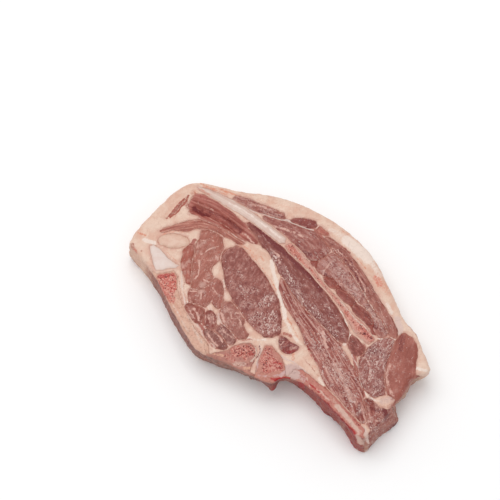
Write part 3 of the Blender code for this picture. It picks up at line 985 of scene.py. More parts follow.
SLIT = (0.9, 1.0, (-62.5, 53.5), (-58, 57), (-55, 61), (-52.5, 64.5), (-50, 68))
SLIT_DEPTH = 0.7


def fat_relief(points):
    """Low lobes in the broad fat, and the long hollow of the slit in the cover."""
    lobed = 0.34 * noise_at(points, 7, 31) + 0.16 * noise_at(points, 2.4, 32)
    slit = painted(points, points[:, 0] * 0, [SLIT])
    return 0.15 + lobed - SLIT_DEPTH * slit


cut_piece(
    "fat", "fat", fat_finish, relief=fat_relief, fields=seam_fields,
    tissue=[
        (0.6, 0.9, (-62.5, 53.5), (-59.5, 56.8), (-57.8, 60), (-54.5, 64), (-51.3, 67.5)),
        (0.8, 1.0, (-60, 54), (-56.5, 57.5), (-54.2, 60.5), (-52, 63.5), (-50.7, 66), (-50, 68.5)),
        (3.4, 0.35, (-48.5, 57.5), (-47.5, 64), (-47, 70)),
        (1.1, 0.6, (-49, 62), (-47.5, 66.5), (-46.5, 70)),
        (1.0, 0.6, (-50.5, 66)), (2.2, 0.9, (-46.8, 59)), (1.0, 0.5, (-50, 58)),
        (2.2, 0.5, (-81, 37), (-80, 32), (-78, 26), (-74, 20)),
        (0.9, 0.8, (-76, 32.5)), (0.8, 0.8, (-76, 26)), (1.3, 0.5, (70, -11), (74, -15), (76.5, -19)),
        (0.5, 0.8, (14, -40), (16, -42.5), (18.5, -45.5)),
        (1.6, 0.6, (3.5, -17.5), (7, -19)), (1.0, 0.6, (-20, -21.8), (-14, -21)),
        (1.8, 0.35, (45, -56), (47, -60), (47, -66)),
        (1.5, 0.6, (18, -46.5), (24, -52.5)), (1.4, 0.9, (25, -49.5), (31, -57), (37, -64), (43, -70.5)),
        (1.6, 0.6, (46.5, -78, 15), (46, -80, 3)),
        (1.6, 0.35, (50, -58.5), (55, -60.5), (61, -60)), (0.5, 0.8, (11, -37.5), (15, -41), (20, -46)),
        (0.5, 0.6, (14, -32), (18, -37), (22, -43)),
    ],
    blush=[
        (0.9, 0.8, (-43, 76), (-38, 73.5), (-30, 71.5), (-22, 68), (-14, 64.5)),
        (0.6, 0.7, (-42, 74), (-35, 71.5), (-27, 69)), (1.0, 0.8, (-78, 44.5), (-74, 43)),
        (0.5, 0.7, (-9, 29.5), (-7.5, 27)), (0.5, 0.6, (-28, 43.5), (-22, 38.5), (-14, 32)),
        (3.0, 0.4, (56, 18), (59.5, 11.5), (62, 7)), (3.4, 0.3, (52, -57), (60, -57)),
        (2.6, 0.4, (20, -38)), (0.5, 0.8, (-66, 38), (-64.5, 42.5), (-60, 45), (-53, 45)),
        (0.6, 0.6, (2, 14), (3, 5), (4.5, -1)), (0.6, 0.6, (5.2, -8), (8, -13), (12, -21)),
        (0.7, 0.5, (-62, 33), (-56, 27)), (2.0, 0.4, (-47, 62), (-46, 71)),
        (1.2, 0.5, (34, -27), (37, -33)), (1.5, 0.5, (9, -28), (8, -33)),
        (0.5, 0.6, (36, 47), (43, 40.5)), (0.5, 0.6, (45, 28), (50, 21.5)),
        (0.4, 0.7, (-20, 37), (-12, 27.5), (-5, 17.5), (0, 8)),
        (0.4, 0.6, (-5, 34), (1, 22.5), (3, 12), (4.5, 2), (7, -6)),
        (3.0, 0.35, (-20, 36), (-12, 29)), (0.9, 0.7, (-9, 29), (-7.5, 26.5)),
        (2.5, 0.3, (-10, 66), (8, 60)), (1.6, 0.4, (-56, 3), (-50, -10), (-44, -20)),
    ],
    light=[
        (0.5, 0.9, (-53, 20), (-52.3, 8), (-49.5, -3)),
        (0.4, 0.8, (-50.3, 10), (-49, 0), (-45, -9), (-41, -16)),
        (0.5, 0.9, (-44, -11), (-40, -17), (-36.5, -24)), (0.5, 0.9, (-41, -12), (-38, -19), (-33.5, -26)),
        (2.2, 0.5, (30, 46.5), (37, 42.5)), (4.5, 0.85, (39.5, 39.5), (46, 33.5), (51, 28)),
        (2.6, 0.6, (53, 25), (57, 18.5)),
        (1.7, 0.8, (-3, 27), (-2, 20), (0, 12), (1.5, 5), (3.5, -2), (4, -8)),
        (1.3, 0.8, (4.5, -10), (8, -17), (11, -22.5)), (2.0, 0.8, (-74, 40), (-69, 38)),
        (1.1, 0.95, (35, -5), (37, -11), (38.5, -16), (39.6, -19)), (1.5, 0.6, (36.5, -24)),
        (1.0, 0.7, (45.5, -50.5), (48, -53.5), (51.5, -56.5), (56, -58)),
        (1.5, 0.3, (58, -56), (62.5, -56)),
        (1.2, 0.95, (75, -38), (80, -39.5)), (1.6, 0.6, (60.5, 0), (63, -5)),
        (1.0, 0.7, (-18, -19.8), (-10, -21.5), (-6, -21.5)), (0.8, 0.7, (55, -20.8), (64, -21)),
        (0.8, 0.8, (19.5, 44), (27, 41.5), (32, 38.5)), (1.6, 0.5, (22, -44), (24.5, -48)),
    ],
    milky=[
        (1.5, 0.9, (-14, 59.5), (-6, 56.3), (0, 54), (5, 52.2), (10, 50), (15, 47.7), (20, 46)),
        (2.6, 0.7, (66, -9), (67, -14), (66.5, -17)),
        (0.8, 0.8, (2, -31), (6, -33.5), (10, -35.5), (14, -39), (17, -43), (19, -46)),
        (0.9, 0.7, (-32.5, -5), (-31, -11), (-27, -15.5), (-23.5, -19)),
        (0.7, 0.8, (40, -30), (42, -34), (44, -38), (44, -45), (45.5, -49)),
        (0.9, 0.7, (-9.8, -24), (-9.2, -29), (-11.5, -36)), (0.6, 0.8, (45, 13), (48, 7), (51, 1)),
        (0.9, 0.6, (-53, 20), (-52.5, 10), (-50, 0), (-45, -10), (-40, -19)),
        (0.8, 0.7, (-40, -13), (-37.5, -20), (-34, -26)), (1.0, 0.4, (56, -57.5), (61, -55)),
        (2.0, 0.6, (45.5, -73), (46.5, -77)), (2.2, 0.8, (47, -77, 15), (47.5, -76, 11)),
    ],
    lilac=[
        (4.0, 0.9, (4, -39.5), (8, -38.8), (12, -41.5)), (2.4, 0.5, (9, -36.5), (13, -40)),
        (3.0, 0.5, (56, -57.5), (61, -56)),
    ],
    rose=[(2.4, 0.5, (55, 16.5), (57, 12)), (1.2, 0.6, (-77, 44)), (1.6, 0.5, (-80, 34), (-77, 26))],
    blood=[
        (1.6, 0.9, (-2, -46, 18), (4, -44.5, 17), (9, -46, 17)),
        (0.6, 0.6, (16, -25.5), (17.5, -30), (20, -34.3)),
    ],
    lean=[
        (0.4, 0.7, (-54.5, 18), (-53.7, 8), (-51, -2)),
        (0.4, 0.7, (-51.6, 14), (-51, 4), (-47.5, -6), (-43, -13)),
        (0.5, 0.6, (-46, -11), (-42, -18), (-38, -25)), (1.5, 0.62, (-60, 55.5), (-56.5, 60), (-53, 64.5)),
        (1.6, 0.9, (-41, -4), (-39.5, -9), (-41, -12), (-38, -16)),
        (1.7, 0.85, (-43, -9), (-41.5, -14), (-38, -19)),
        (1.0, 0.8, (-40, -18), (-37.5, -22.5), (-34.5, -25.5), (-30.5, -26.8)),
        (1.0, 0.9, (-33, -17), (-30, -21), (-28, -24)),
        (1.3, 0.8, (-26, -22.5), (-23.5, -20.5)), (1.3, 0.7, (-36, -14), (-33.5, -15.5)),
        (1.0, 0.7, (-22, -20), (-18, -20.2)),
        (1.5, 1.0, (41, -28.5), (42, -34), (43.2, -40), (44.6, -47), (46.2, -54)),
        (1.3, 0.9, (47.5, -24), (45, -30)),
        (1.4, 1.0, (62.3, -24), (60.6, -32), (59.5, -40), (59.5, -48), (61, -56)),
        (1.6, 0.9, (21, 46), (25, 42), (28.5, 37)),
        (0.8, 0.8, (28, 41.5), (35, 37), (41, 31.5)), (2.2, 0.5, (-52, 65), (-49.5, 60)),
        (0.7, 0.7, (24, 26), (29, 32)),
        (1.4, 0.35, (-51, 60), (-57, 55)), (1.5, 0.9, (-50.5, 34), (-48, 37), (-46, 40)),
        (1.0, 0.6, (-44, 53), (-37, 51.5), (-30, 47.5)),
        (1.0, 0.9, (31.5, 33), (38, 24), (44, 14), (49, 4), (54, -5), (60, -15)),
    ],
    thread=[
        (1.5, 1.0, (-37.5, -1), (-36.3, -4)), (0.9, 1.0, (-35.5, -5), (-33.5, -8.5), (-32.3, -12)),
        (0.6, 0.9, (-32, -13), (-29.5, -17), (-27, -19), (-25, -20)),
        (0.5, 0.7, (-33.5, -15), (-31, -17), (-29.5, -20.5)),
        (0.4, 0.9, (-49, -0.5), (-45, 0.5), (-41.5, 0.8), (-38.5, 0.5)),
        (0.4, 0.6, (-43, -10), (-40.5, -13.5), (-38, -15.5)),
        (0.4, 0.9, (31.5, 33), (38, 24), (44, 14), (49, 4), (54, -5), (60, -15)),
        (0.4, 0.7, (27, 17.5), (30, 19.5)), (0.4, 0.8, (31.5, 11.5), (34, 12.8)),
        (0.5, 0.8, (40.5, 0.5), (43, 1.8), (46, 1.6)),
        (0.4, 0.8, (45.5, -6), (49, -8.2), (52, -9)), (0.6, 0.9, (42.5, -27.5), (44, -31), (45, -38)),
        (0.4, 0.7, (45.3, -42), (46, -47), (48, -51)), (0.9, 0.8, (-29.5, 15), (-29, 8), (-28, 4)),
        (0.5, 0.7, (-40, 53.5), (-34, 51.5), (-27, 47), (-20, 41.5)),
    ],
    deep_lean=[
        (
            2.9, 1.0, (20.5, 26), (25.5, 21.5), (29, 17), (33.5, 11), (38, 5), (42.5, -1), (47, -6.5),
            (51.5, -12.5), (53.5, -16.5),
        ),
        (1.3, 0.5, (48, -58.5), (51, -61), (56, -62.5)), (0.9, 0.8, (3, 53.5), (10, 51.5)),
    ],
    # Painted shade in small pits of the fat, with no hollow in the relief.
    pit=[(0.5, 0.8, (-10.2, -25), (-9.7, -28.5), (-11, -31.5), (-13.5, -34.8)), (1.2, 0.9, (-44, 58.3))],
)


# ---- Ligament and cartilage -----------------------------------------------------------------
# Firm white tissue: the round neck ligament in its thin pink sheath, the gristle on top of the
# spine, and the long white cartilage that the blade bone grows from.
def gristle_finish(name, paint, shade, streaks, rim_paint, rim_width=0.9, masks=None):
    """White tissue: its paint and shade, the length and width of its fibres, and what edges it."""
    finish, tree, flow, seam, side = start_finish(name)
    length, width = streaks
    fibre_sizes = {"Flow": flow, "Length": length, "Width": width, "Level": 0.5}
    fibres = place_group(tree, streak_effect, fibre_sizes)
    patches = place_group(tree, mottle_effect, {"Place": flow, "Size": 4.0})
    colour = over(tree, product(tree, patches["Patches"], 0.4), paint, shade)
    colour = over(tree, product(tree, fibres["Streaks"], 0.45), colour, shade)
    edge = fade(tree, total(tree, seam, product(tree, patches["Grain"], 0.35)), rim_width, 0.2)
    colour = over(tree, product(tree, edge, patches["Patches"], 0.8), colour, rim_paint)
    colour = lay_masks(tree, colour, flow, masks or {})
    rough = total(tree, product(tree, patches["Grain"], 0.1), 0.3)
    relief = total(tree, fibres["Relief"], product(tree, patches["Grain"], 0.2))
    return end_finish(finish, tree, colour, rough, relief, 0.15)


LIGAMENT_CENTRE = (-57.8, 39.3)
LIGAMENT_RADII = (9.0, 4.6)
ligament_finish = gristle_finish(
    "ligament", paint=(217, 185, 167), shade=(206, 164, 145), streaks=(3.0, 1.6),
    rim_paint=(198, 142, 126), rim_width=0.8,
)


def ligament_relief(points):
    """A low dome in its sheath."""
    away = (points - np.array(LIGAMENT_CENTRE)) / LIGAMENT_RADII
    return 0.45 * smoothstep(1 - (away**2).sum(1), 0, 0.5) + 0.06 * noise_at(points, 1.8, 33)


cut_piece("neck_ligament", "ligament", ligament_finish, relief=ligament_relief)

spine_finish = gristle_finish(
    "spine_cartilage", paint=(220, 202, 194), shade=(212, 186, 176), streaks=(6.0, 2.5),
    rim_paint=(224, 196, 182), rim_width=1.3,
)
cut_piece(
    "spine_cartilage", "cartilage", spine_finish,
    relief=lambda points: 0.3 + 0.05 * noise_at(points, 3, 34),
)

BLADE_LINE = [(-45, 73.5), (-38, 70.3), (-30, 65.5), (-20, 59.2), (-10, 51.2), (0, 42.7), (6, 37)]
along_blade = grain_along(BLADE_LINE)
blade_gristle = gristle_finish(
    "blade_cartilage", paint=(214, 191, 179), shade=(201, 165, 153), streaks=(26.0, 0.75),
    rim_paint=(204, 156, 142), rim_width=0.8,
    masks={"blush": (204, 142, 124), "light": (228, 208, 198)},
)


def blade_relief(points):
    """A round ridge with long grooves."""
    flow = along_blade(points)
    return 0.35 - 0.05 * flow[:, 1] ** 2 + 0.12 * noise_at(flow / (14, 0.9), 1.0, 35)


cut_piece(
    "blade_cartilage", "cartilage", blade_gristle, relief=blade_relief, flow=along_blade,
    blush=[
        (1.2, 0.6, (-46, 73.5), (-38, 69)), (0.7, 0.5, (-33, 65), (-27, 60.5)),
        (0.9, 0.6, (4.5, 36), (7, 39)),
    ],
    light=[(0.9, 0.8, (-27, 63.8), (-16, 56.8), (-6, 48.5), (3, 40.5))],
)


# ---- Bone -----------------------------------------------------------------------------------
# Sawn bone: a pale rind of hard bone round red marrow full of small dark pores. The saw and the
# knife laid the spine bones and the rib open at the slab's side too.
MARROW_PALE = (204, 128, 112)
MARROW_MESH = (224, 170, 156)
PORE_RED = (140, 44, 40)
PORE_DARK = (116, 24, 26)
RIND_WARM = (202, 148, 130)
RIND_GRAIN = (190, 130, 114)


def bone_finish(name, rind, marrow, rind_width=1.1, pores=(1.1, 0.4), side_paint=(134, 100, 88), torn=0.6,
                reach=4.5, masks=None):
    """Sawn bone. The marrow shows where the marrow mask is, inside the rind. pores are their size and
    how many there are."""
    finish, tree, flow, seam, side = start_finish(name)
    patches = place_group(tree, mottle_effect, {"Place": flow, "Size": 3.2})
    mesh_work = place_group(tree, curl_effect, {"Place": flow, "Size": 1.0, "Cover": 0.6})["Curls"]
    size, cover = pores
    holes = place_group(tree, speck_effect, {"Place": flow, "Size": size, "Cover": cover})["Specks"]
    fine_pores = {"Place": flow, "Size": size * 0.5, "Cover": cover}
    fine_holes = place_group(tree, speck_effect, fine_pores)["Specks"]
    core = over(tree, product(tree, patches["Patches"], 0.5), marrow, MARROW_PALE)
    core = over(tree, product(tree, mesh_work, 0.7), core, MARROW_MESH)
    core = over(tree, product(tree, fine_holes, 0.8), core, PORE_RED)
    core = over(tree, product(tree, holes, 0.9), core, PORE_DARK)
    hard = over(tree, product(tree, patches["Patches"], 0.4), rind, RIND_WARM)
    hard = over(tree, product(tree, patches["Grain"], 0.15), hard, RIND_GRAIN)
    mask = add(tree, "Attribute", attribute_name="marrow").outputs["Fac"]
    mask = place_group(tree, fray_effect, {"Mask": mask, "Place": flow, "Size": 1.0})["Mask"]
    depth_in = total(tree, seam, product(tree, patches["Grain"], 0.4))
    inside_rind = fade(tree, depth_in, rind_width * 0.6, rind_width * 1.3)
    colour = over(tree, product(tree, mask, inside_rind), hard, core)
    colour = lay_side(tree, colour, flow, seam, side, side_paint, 0.9, torn, reach)
    colour = lay_masks(tree, colour, flow, masks or {})
    rough = calc(tree, "SUBTRACT", 0.46, product(tree, holes, 0.2))
    relief = calc(tree, "SUBTRACT", product(tree, mesh_work, 0.3), holes)
    return end_finish(finish, tree, colour, rough, relief, 0.3)


BONE_STAINS = {
    "light": (222, 194, 180),
    "peach": (220, 170, 146),
    "red": (176, 58, 50),
    "dark": (112, 34, 32),
    "brown": (138, 78, 70),
    "grey": (132, 114, 102),
}
blade_bone_finish = bone_finish(
    "blade_bone", rind=(208, 158, 145), marrow=(180, 100, 88), rind_width=0.7, pores=(1.3, 0.5),
    masks=BONE_STAINS,
)
BONE_LINE = [(6, 37), (16.5, 24.7), (24.5, 13.5), (33.2, 2.5), (40.2, -8), (46, -16), (52, -23)]
along_bone = grain_along(BONE_LINE)


def bone_relief(points):
    """Marrow sunk between the two hard walls."""
    flow = along_bone(points)
    return 0.25 - 0.3 * np.exp(-((flow[:, 1] / 1.2) ** 2)) + 0.1 * noise_at(points, 1.3, 36)


cut_piece(
    "blade_bone", "bone", blade_bone_finish, relief=bone_relief, flow=along_bone,
    marrow=[
        (2.6, 0.8, (6.5, 36.5), (10, 31.5), (12.5, 28.5)),
        (1.0, 0.85, (13, 28), (20, 19.5), (26, 11), (33, 2.5), (38, -5)),
        (1.7, 0.8, (38, -5), (41.5, -10), (44.5, -14)), (3.0, 1.0, (44.5, -13.5), (48, -17.5), (51, -21)),
    ],
    red=[(0.8, 0.5, (7.5, 34)), (0.7, 0.5, (10, 31)), (1.5, 0.4, (46, -15), (49, -18.5), (51, -21))],
    dark=[
        (0.8, 0.9, (46.2, -14.8)), (0.9, 1.0, (47.8, -17.6)), (0.9, 0.9, (51.2, -20.6)),
        (0.7, 0.8, (49.5, -16.5)),
        (0.6, 0.8, (45.2, -12.6)), (0.7, 0.9, (49.2, -19.6)), (0.6, 0.7, (47.2, -15.9)),
    ],
    light=[
        (0.5, 0.8, (12.5, 33), (21, 22.5), (28, 12), (36, 0.5), (44, -9.8), (53, -19.5)),
        (0.5, 0.7, (10, 29.5), (16, 22.5), (23.5, 12), (31, 1.5), (38, -10), (43, -18), (47, -22.5)),
    ],
)

feather_finish = bone_finish(
    "feather_bone", rind=(222, 182, 162), marrow=(190, 90, 80), rind_width=0.6, pores=(1.2, 0.65),
    side_paint=(146, 86, 77), torn=0.5, reach=6.5, masks=BONE_STAINS | {"grey": (136, 108, 98)},
)
feather_flow = grain_turned(-62)
cut_piece(
    "feather_bone", "bone", feather_finish,
    relief=lambda points: 0.2 + 0.14 * noise_at(points, 1.2, 37), flow=feather_flow,
    marrow=[
        (5.2, 1.0, (-62.5, 15.5), (-60, 9)), (3.4, 0.6, (-59.5, 7), (-58.5, 3)),
        (2.0, 0.8, (-57, 18), (-56.5, 10)), (2.5, 0.3, (-57.5, 1), (-54, -6)),
    ],
    grey=[
        (4.5, 0.45, (-56, -14, 3), (-50, -23, 5), (-44, -29, 7)),
        (2.0, 0.4, (-48, -23, 13), (-43, -29, 13)),
    ],
    peach=[
        (0.5, 0.7, (-54, 8), (-51, -4), (-46, -15)), (0.5, 0.6, (-56, 1), (-52, -10)),
        (0.8, 0.5, (-48, -6), (-42, -20)),
    ],
    dark=[
        (0.9, 0.8, (-62, 17)), (0.8, 0.7, (-64.5, 15.5)), (0.6, 0.7, (-60.5, 17.5)),
        (0.6, 0.6, (-63, 13)), (0.5, 0.6, (-59, 9)), (0.7, 0.7, (-58, 16)), (0.7, 0.7, (-60, 19)),
        (0.6, 0.7, (-56.7, 18.5)), (0.6, 0.5, (-58, 13)),
    ],
    red=[
        (1.6, 0.5, (-66, 17), (-58, 18.5)), (1.2, 0.4, (-58, 6), (-57, 1)), (0.8, 0.6, (-56.8, 4)),
        (0.8, 0.35, (-46.5, -16)),
    ],
    light=[
        (0.9, 0.8, (-53.5, 13), (-52.5, 4), (-48, -8)), (1.2, 0.7, (-50, -6), (-45, -16), (-41, -23)),
        (0.6, 0.7, (-57, -1), (-53, -8), (-49, -16)),
    ],
    brown=[
        (1.2, 0.7, (-70, 14, 11), (-58, -8, 11), (-50, -22, 11)),
        (0.7, 0.5, (-58, -4), (-51, -17), (-46, -25)),
    ],
)

arch_finish = bone_finish(
    "arch_bone", rind=(180, 126, 116), marrow=(160, 72, 64), rind_width=0.7, pores=(1.5, 0.6),
    side_paint=(136, 104, 94), torn=0.7, masks=BONE_STAINS,
)
cut_piece(
    "arch_bone", "bone", arch_finish, relief=lambda points: 0.2 + 0.14 * noise_at(points, 1.2, 38),
    marrow=[
        (4.6, 1.0, (-22, -28.5), (-15.5, -27.8)), (2.2, 0.7, (-18, -32)),
        (2.4, 0.5, (-28, -31), (-24, -33.5)),
    ],
    dark=[
        (0.9, 1.0, (-23, -28.8)), (0.7, 1.0, (-18.4, -27.7)), (0.8, 1.0, (-14.7, -26.2)),
        (0.6, 1.0, (-12.9, -28.8)),
        (0.5, 1.0, (-12.9, -30.2)), (0.5, 0.9, (-16, -32.2)), (0.5, 0.8, (-20.7, -33)),
        (0.5, 0.7, (-24, -31)),
        (0.6, 0.6, (-20.5, -26)), (0.5, 0.6, (-17, -29.5)), (0.4, 0.6, (-22, -31.5)),
        (0.5, 0.6, (-15, -30)), (0.8, 0.9, (-36, -33.5, 17.5), (-26, -38.5, 17), (-16, -43, 16.5)),
    ],
    red=[(1.6, 0.35, (-22.5, -29)), (1.4, 0.35, (-14.5, -29))],
    light=[
        (2.4, 0.42, (-22.5, -35.8), (-18.5, -36)),
        (0.5, 0.8, (-25.5, -25.5), (-22, -23.2), (-17, -22.4), (-13.2, -23.4)),
        (0.8, 0.95, (-12.2, -24.4), (-11.3, -28.5), (-12.8, -32.5), (-14.5, -34)),
    ],
    peach=[(1.2, 0.6, (-35, -29.5), (-30, -31)), (1.5, 0.6, (-18, -38.5), (-14.5, -38))],
    brown=[
        (1.0, 0.6, (-36, -33, 18.2), (-26, -37.5, 18.2), (-17, -42, 18.2)),
        (0.4, 0.5, (-34, -30.5), (-27, -33.5)), (1.3, 0.5, (-16.5, -36), (-14.5, -34)),
    ],
)

body_finish = bone_finish(
    "body_bone", rind=(192, 132, 120), marrow=(160, 68, 60), rind_width=1.2, pores=(1.5, 0.5),
    side_paint=(144, 86, 78), torn=0.6, reach=4.0, masks=BONE_STAINS | {"membrane": (206, 168, 164)},
)
cut_piece(
    "body_bone", "bone", body_finish, relief=lambda points: 0.2 + 0.14 * noise_at(points, 1.2, 39),
    marrow=[
        (3.4, 1.0, (-5.5, -26), (-5, -31)), (5.2, 1.0, (-6, -33), (-2.5, -36.5)),
        (3.4, 1.0, (-6, -38.5), (0.5, -37)),
    ],
    red=[
        (1.3, 0.7, (-1.4, -34.8), (1.2, -35.6)), (0.9, 0.7, (0.5, -38)), (1.0, 0.5, (-4, -27)),
        (0.9, 0.5, (-7.5, -39)), (2.6, 0.45, (-2, -47, 14), (-5, -48, 6)),
        (1.5, 0.9, (-4, -44.5, 18.2), (1, -44.5, 18.4), (6, -44, 18.4)),
        (2.6, 0.7, (1, -46, 13), (5, -46, 13)),
    ],
    dark=[
        (0.7, 0.8, (-0.2, -34.8)), (0.6, 1.0, (-7.7, -35.8)), (0.5, 0.9, (-6, -29.2)),
        (0.5, 0.8, (-3.4, -27.3)), (0.8, 0.9, (3.6, -44.3, 18.6)), (0.7, 0.7, (-1, -45, 17.5)),
        (0.4, 0.7, (-5, -33)), (0.4, 0.7, (-3, -38.5)), (0.5, 0.6, (-8, -32.5)), (0.4, 0.6, (-1.5, -31)),
    ],
    membrane=[
        (0.7, 0.9, (-9.3, -28), (-10.6, -33), (-11.3, -40)),
        (0.8, 0.8, (-10.5, -42.3), (-4, -42.8), (2, -41.5)), (1.5, 0.8, (2, -42.5), (4, -40)),
    ],
)

rib_finish = bone_finish(
    "rib", rind=(190, 122, 112), marrow=(176, 86, 78), rind_width=0.5, pores=(1.0, 0.25),
    side_paint=(156, 74, 67), torn=0.45, reach=1.8,
    masks=BONE_STAINS | {
        "lilac": (204, 172, 164),
        "membrane": (150, 56, 53),
        "white": (212, 176, 162),
        "clot": (176, 12, 20),
    },
)
RIB_LINE = [(8, -41), (17.5, -50), (26.5, -58.5), (35, -68.5), (42, -77.5)]
along_rib = grain_along(RIB_LINE)
cut_piece(
    "rib", "bone", rib_finish,
    relief=lambda points: 0.1 + 0.3 * noise_at(along_rib(points) / (5, 1), 1.0, 40), flow=along_rib,
    marrow=[(1.6, 0.6, (38, -62), (43, -70)), (1.5, 0.6, (19, -49), (26, -55))],
    lilac=[(4.2, 0.9, (4, -40), (9, -41.5)), (2.5, 0.5, (11, -42), (14, -45))],
    red=[
        (0.6, 0.85, (9, -38.5), (13, -43), (18, -48), (22, -52)),
        (1.0, 0.6, (24, -56), (30, -63), (36, -70.5)), (1.6, 0.7, (37.5, -72), (40.5, -76)),
    ],
    membrane=[
        (1.3, 0.75, (18, -51), (27, -60), (33, -67)), (0.7, 0.6, (36, -63), (43, -71)),
        (2.4, 0.85, (22, -56, 17.5), (30, -64.5, 17.5), (38, -73.5, 17.5)),
    ],
    white=[
        (1.5, 0.4, (28, -54.5), (31, -59)), (1.8, 0.8, (31.5, -60), (36.5, -66.5)),
        (1.5, 0.75, (36.5, -66.5), (42.5, -74)), (0.6, 0.7, (15.5, -44), (17.5, -49)),
        (0.8, 0.75, (22.5, -51), (27, -56.5)), (2.6, 0.75, (42, -77, 17.5), (43.5, -78, 12)),
        (2.0, 0.7, (46, -77, 16), (46, -77, 10)),
        (0.7, 0.9, (41, -77, 12), (47, -77, 17)), (1.2, 0.7, (44, -74.5), (42, -76.5)),
    ],
    clot=[
        (2.6, 1.0, (12.3, -47.3, 16.8), (12.5, -47.5, 9)), (1.2, 0.8, (14, -49, 10), (18, -52, 8)),
        (1.4, 0.5, (44.5, -79, 6), (44, -79, 3)), (0.9, 0.8, (8.5, -46, 12), (10, -46.5, 6)),
    ],
    peach=[(0.9, 0.8, (24, -57, 1.5), (31, -65, 1.5), (37, -72, 1.5))],
)


# ---- Neck muscles ---------------------------------------------------------------------------
# Small smooth muscles between the spine and the eye, the palest of the chop, parted by thin
# white seams. The four lowest are frayed ends that the saw tore. Like all the chop's meat they are
# a dull brown pink, with curled marks or streaks of fibre, pale membranes, painted shade in the
# furrows, and beads of moisture as painted highlights.
VEIN_PAINT = (216, 178, 166)
MEAT_EDGE = (200, 146, 132)
WET_HOLLOW = (120, 64, 60)
# Painted highlights: the whites of glints and of beads of moisture, laid into the meat's colour.
PAINTED_GLINT_WHITE = (216, 184, 175)
PAINTED_BEAD_WHITE = (222, 194, 188)
MEAT_MARKS = {
    "dark": (118, 60, 56),
    "pale": (212, 168, 155),
    "blood": (150, 44, 42),
}


def meat_finish(name, lean, dark, pale, patch=6.0, streaks=(8.0, 1.0, 0.56, 0.4), curls=(1.5, 0.4, 0.4),
                wet=(0.9, 0.3, 0.45), grain=0.3, side_paint=(122, 70, 62), side_share=0.5, veins=0.0):
    """A muscle's finish. streaks are length, width, level and strength; curls and wet are size, cover
    and strength, wet being that of the painted highlights of moisture; veins is the strength of thin
    pale lines between the bundles. Where the fibres sink lowest the colour gets painted shade."""
    furrow_shade_paint = tuple(round(c * 0.88) for c in dark)
    grained = tuple(round(c * 0.86) for c in dark)
    finish, tree, flow, seam, side = start_finish(name)
    patches = place_group(tree, mottle_effect, {"Place": flow, "Size": patch})
    length, width, level, strength = streaks
    fibre_sizes = {"Flow": flow, "Length": length, "Width": width, "Level": level}
    fibres = place_group(tree, streak_effect, fibre_sizes)
    colour = over(tree, product(tree, patches["Patches"], 0.7), lean, dark)
    # Painted shade: the lowest parts of the fibre relief are darkened, as shade in the furrows.
    furrows = fade(tree, calc(tree, "SUBTRACT", fibres["Relief"], level), -0.06, -0.16)
    colour = over(tree, product(tree, furrows, strength), colour, furrow_shade_paint)
    colour = over(tree, product(tree, fibres["Streaks"], strength), colour, pale)
    colour = over(tree, product(tree, patches["Grain"], grain), colour, grained)
    if veins:
        web = place_group(tree, curl_effect, {"Place": flow, "Size": 3.6, "Cover": 0.28})["Curls"]
        colour = over(tree, product(tree, web, veins), colour, VEIN_PAINT)
    edge = fade(tree, total(tree, seam, product(tree, patches["Patches"], 0.9)), 1.1, 0.25)
    colour = over(tree, product(tree, edge, 0.4), colour, MEAT_EDGE)
    colour = lay_side(tree, colour, flow, seam, side, side_paint, side_share, 0.4)
    colour = lay_masks(tree, colour, flow, MEAT_MARKS)
    wet_mask = add(tree, "Attribute", attribute_name="wet").outputs["Fac"]
    pools = place_group(tree, mottle_effect, {"Place": flow, "Size": 2.2})["Patches"]
    colour = over(tree, product(tree, pools, wet_mask, 0.6), colour, WET_HOLLOW)
    wet_mask = product(tree, wet_mask, 0.4)
    size, cover, strength = curls
    cover = total(tree, wet_mask, cover)
    curled = place_group(tree, curl_effect, {"Place": flow, "Size": size, "Cover": cover})["Curls"]
    colour = over(tree, product(tree, curled, strength), colour, pale)
    # Painted highlights: glints and beads of moisture laid into the colour where the meat is wet.
    size, cover, strength = wet
    cover = total(tree, wet_mask, cover)
    painted_glints = place_group(tree, painted_glint_effect, {"Place": flow, "Size": size, "Cover": cover})["Glints"]
    beads = {"Place": flow, "Size": size, "Cover": product(tree, cover, 0.5)}
    painted_beads = place_group(tree, speck_effect, beads)["Specks"]
    colour = over(tree, product(tree, painted_glints, strength * 1.5), colour, PAINTED_GLINT_WHITE)
    colour = over(tree, product(tree, painted_beads, strength * 1.3), colour, PAINTED_BEAD_WHITE)
    rough = calc(tree, "SUBTRACT", 0.5, product(tree, painted_glints, 0.25))
    fibre_relief = product(tree, fibres["Relief"], 1.6)
    grain_relief = product(tree, patches["Grain"], 0.35)
    wet_relief = product(tree, painted_glints, 0.5)
    relief = total(tree, fibre_relief, grain_relief, product(tree, curled, 0.4), wet_relief)
    return end_finish(finish, tree, colour, rough, relief, 0.25)


def bundles(flow, length, width, depth, seed):
    """The relief of fibre bundles that run along a flow."""
    return lambda points: depth * noise_at(flow(points) / (length, width), 1.0, seed)


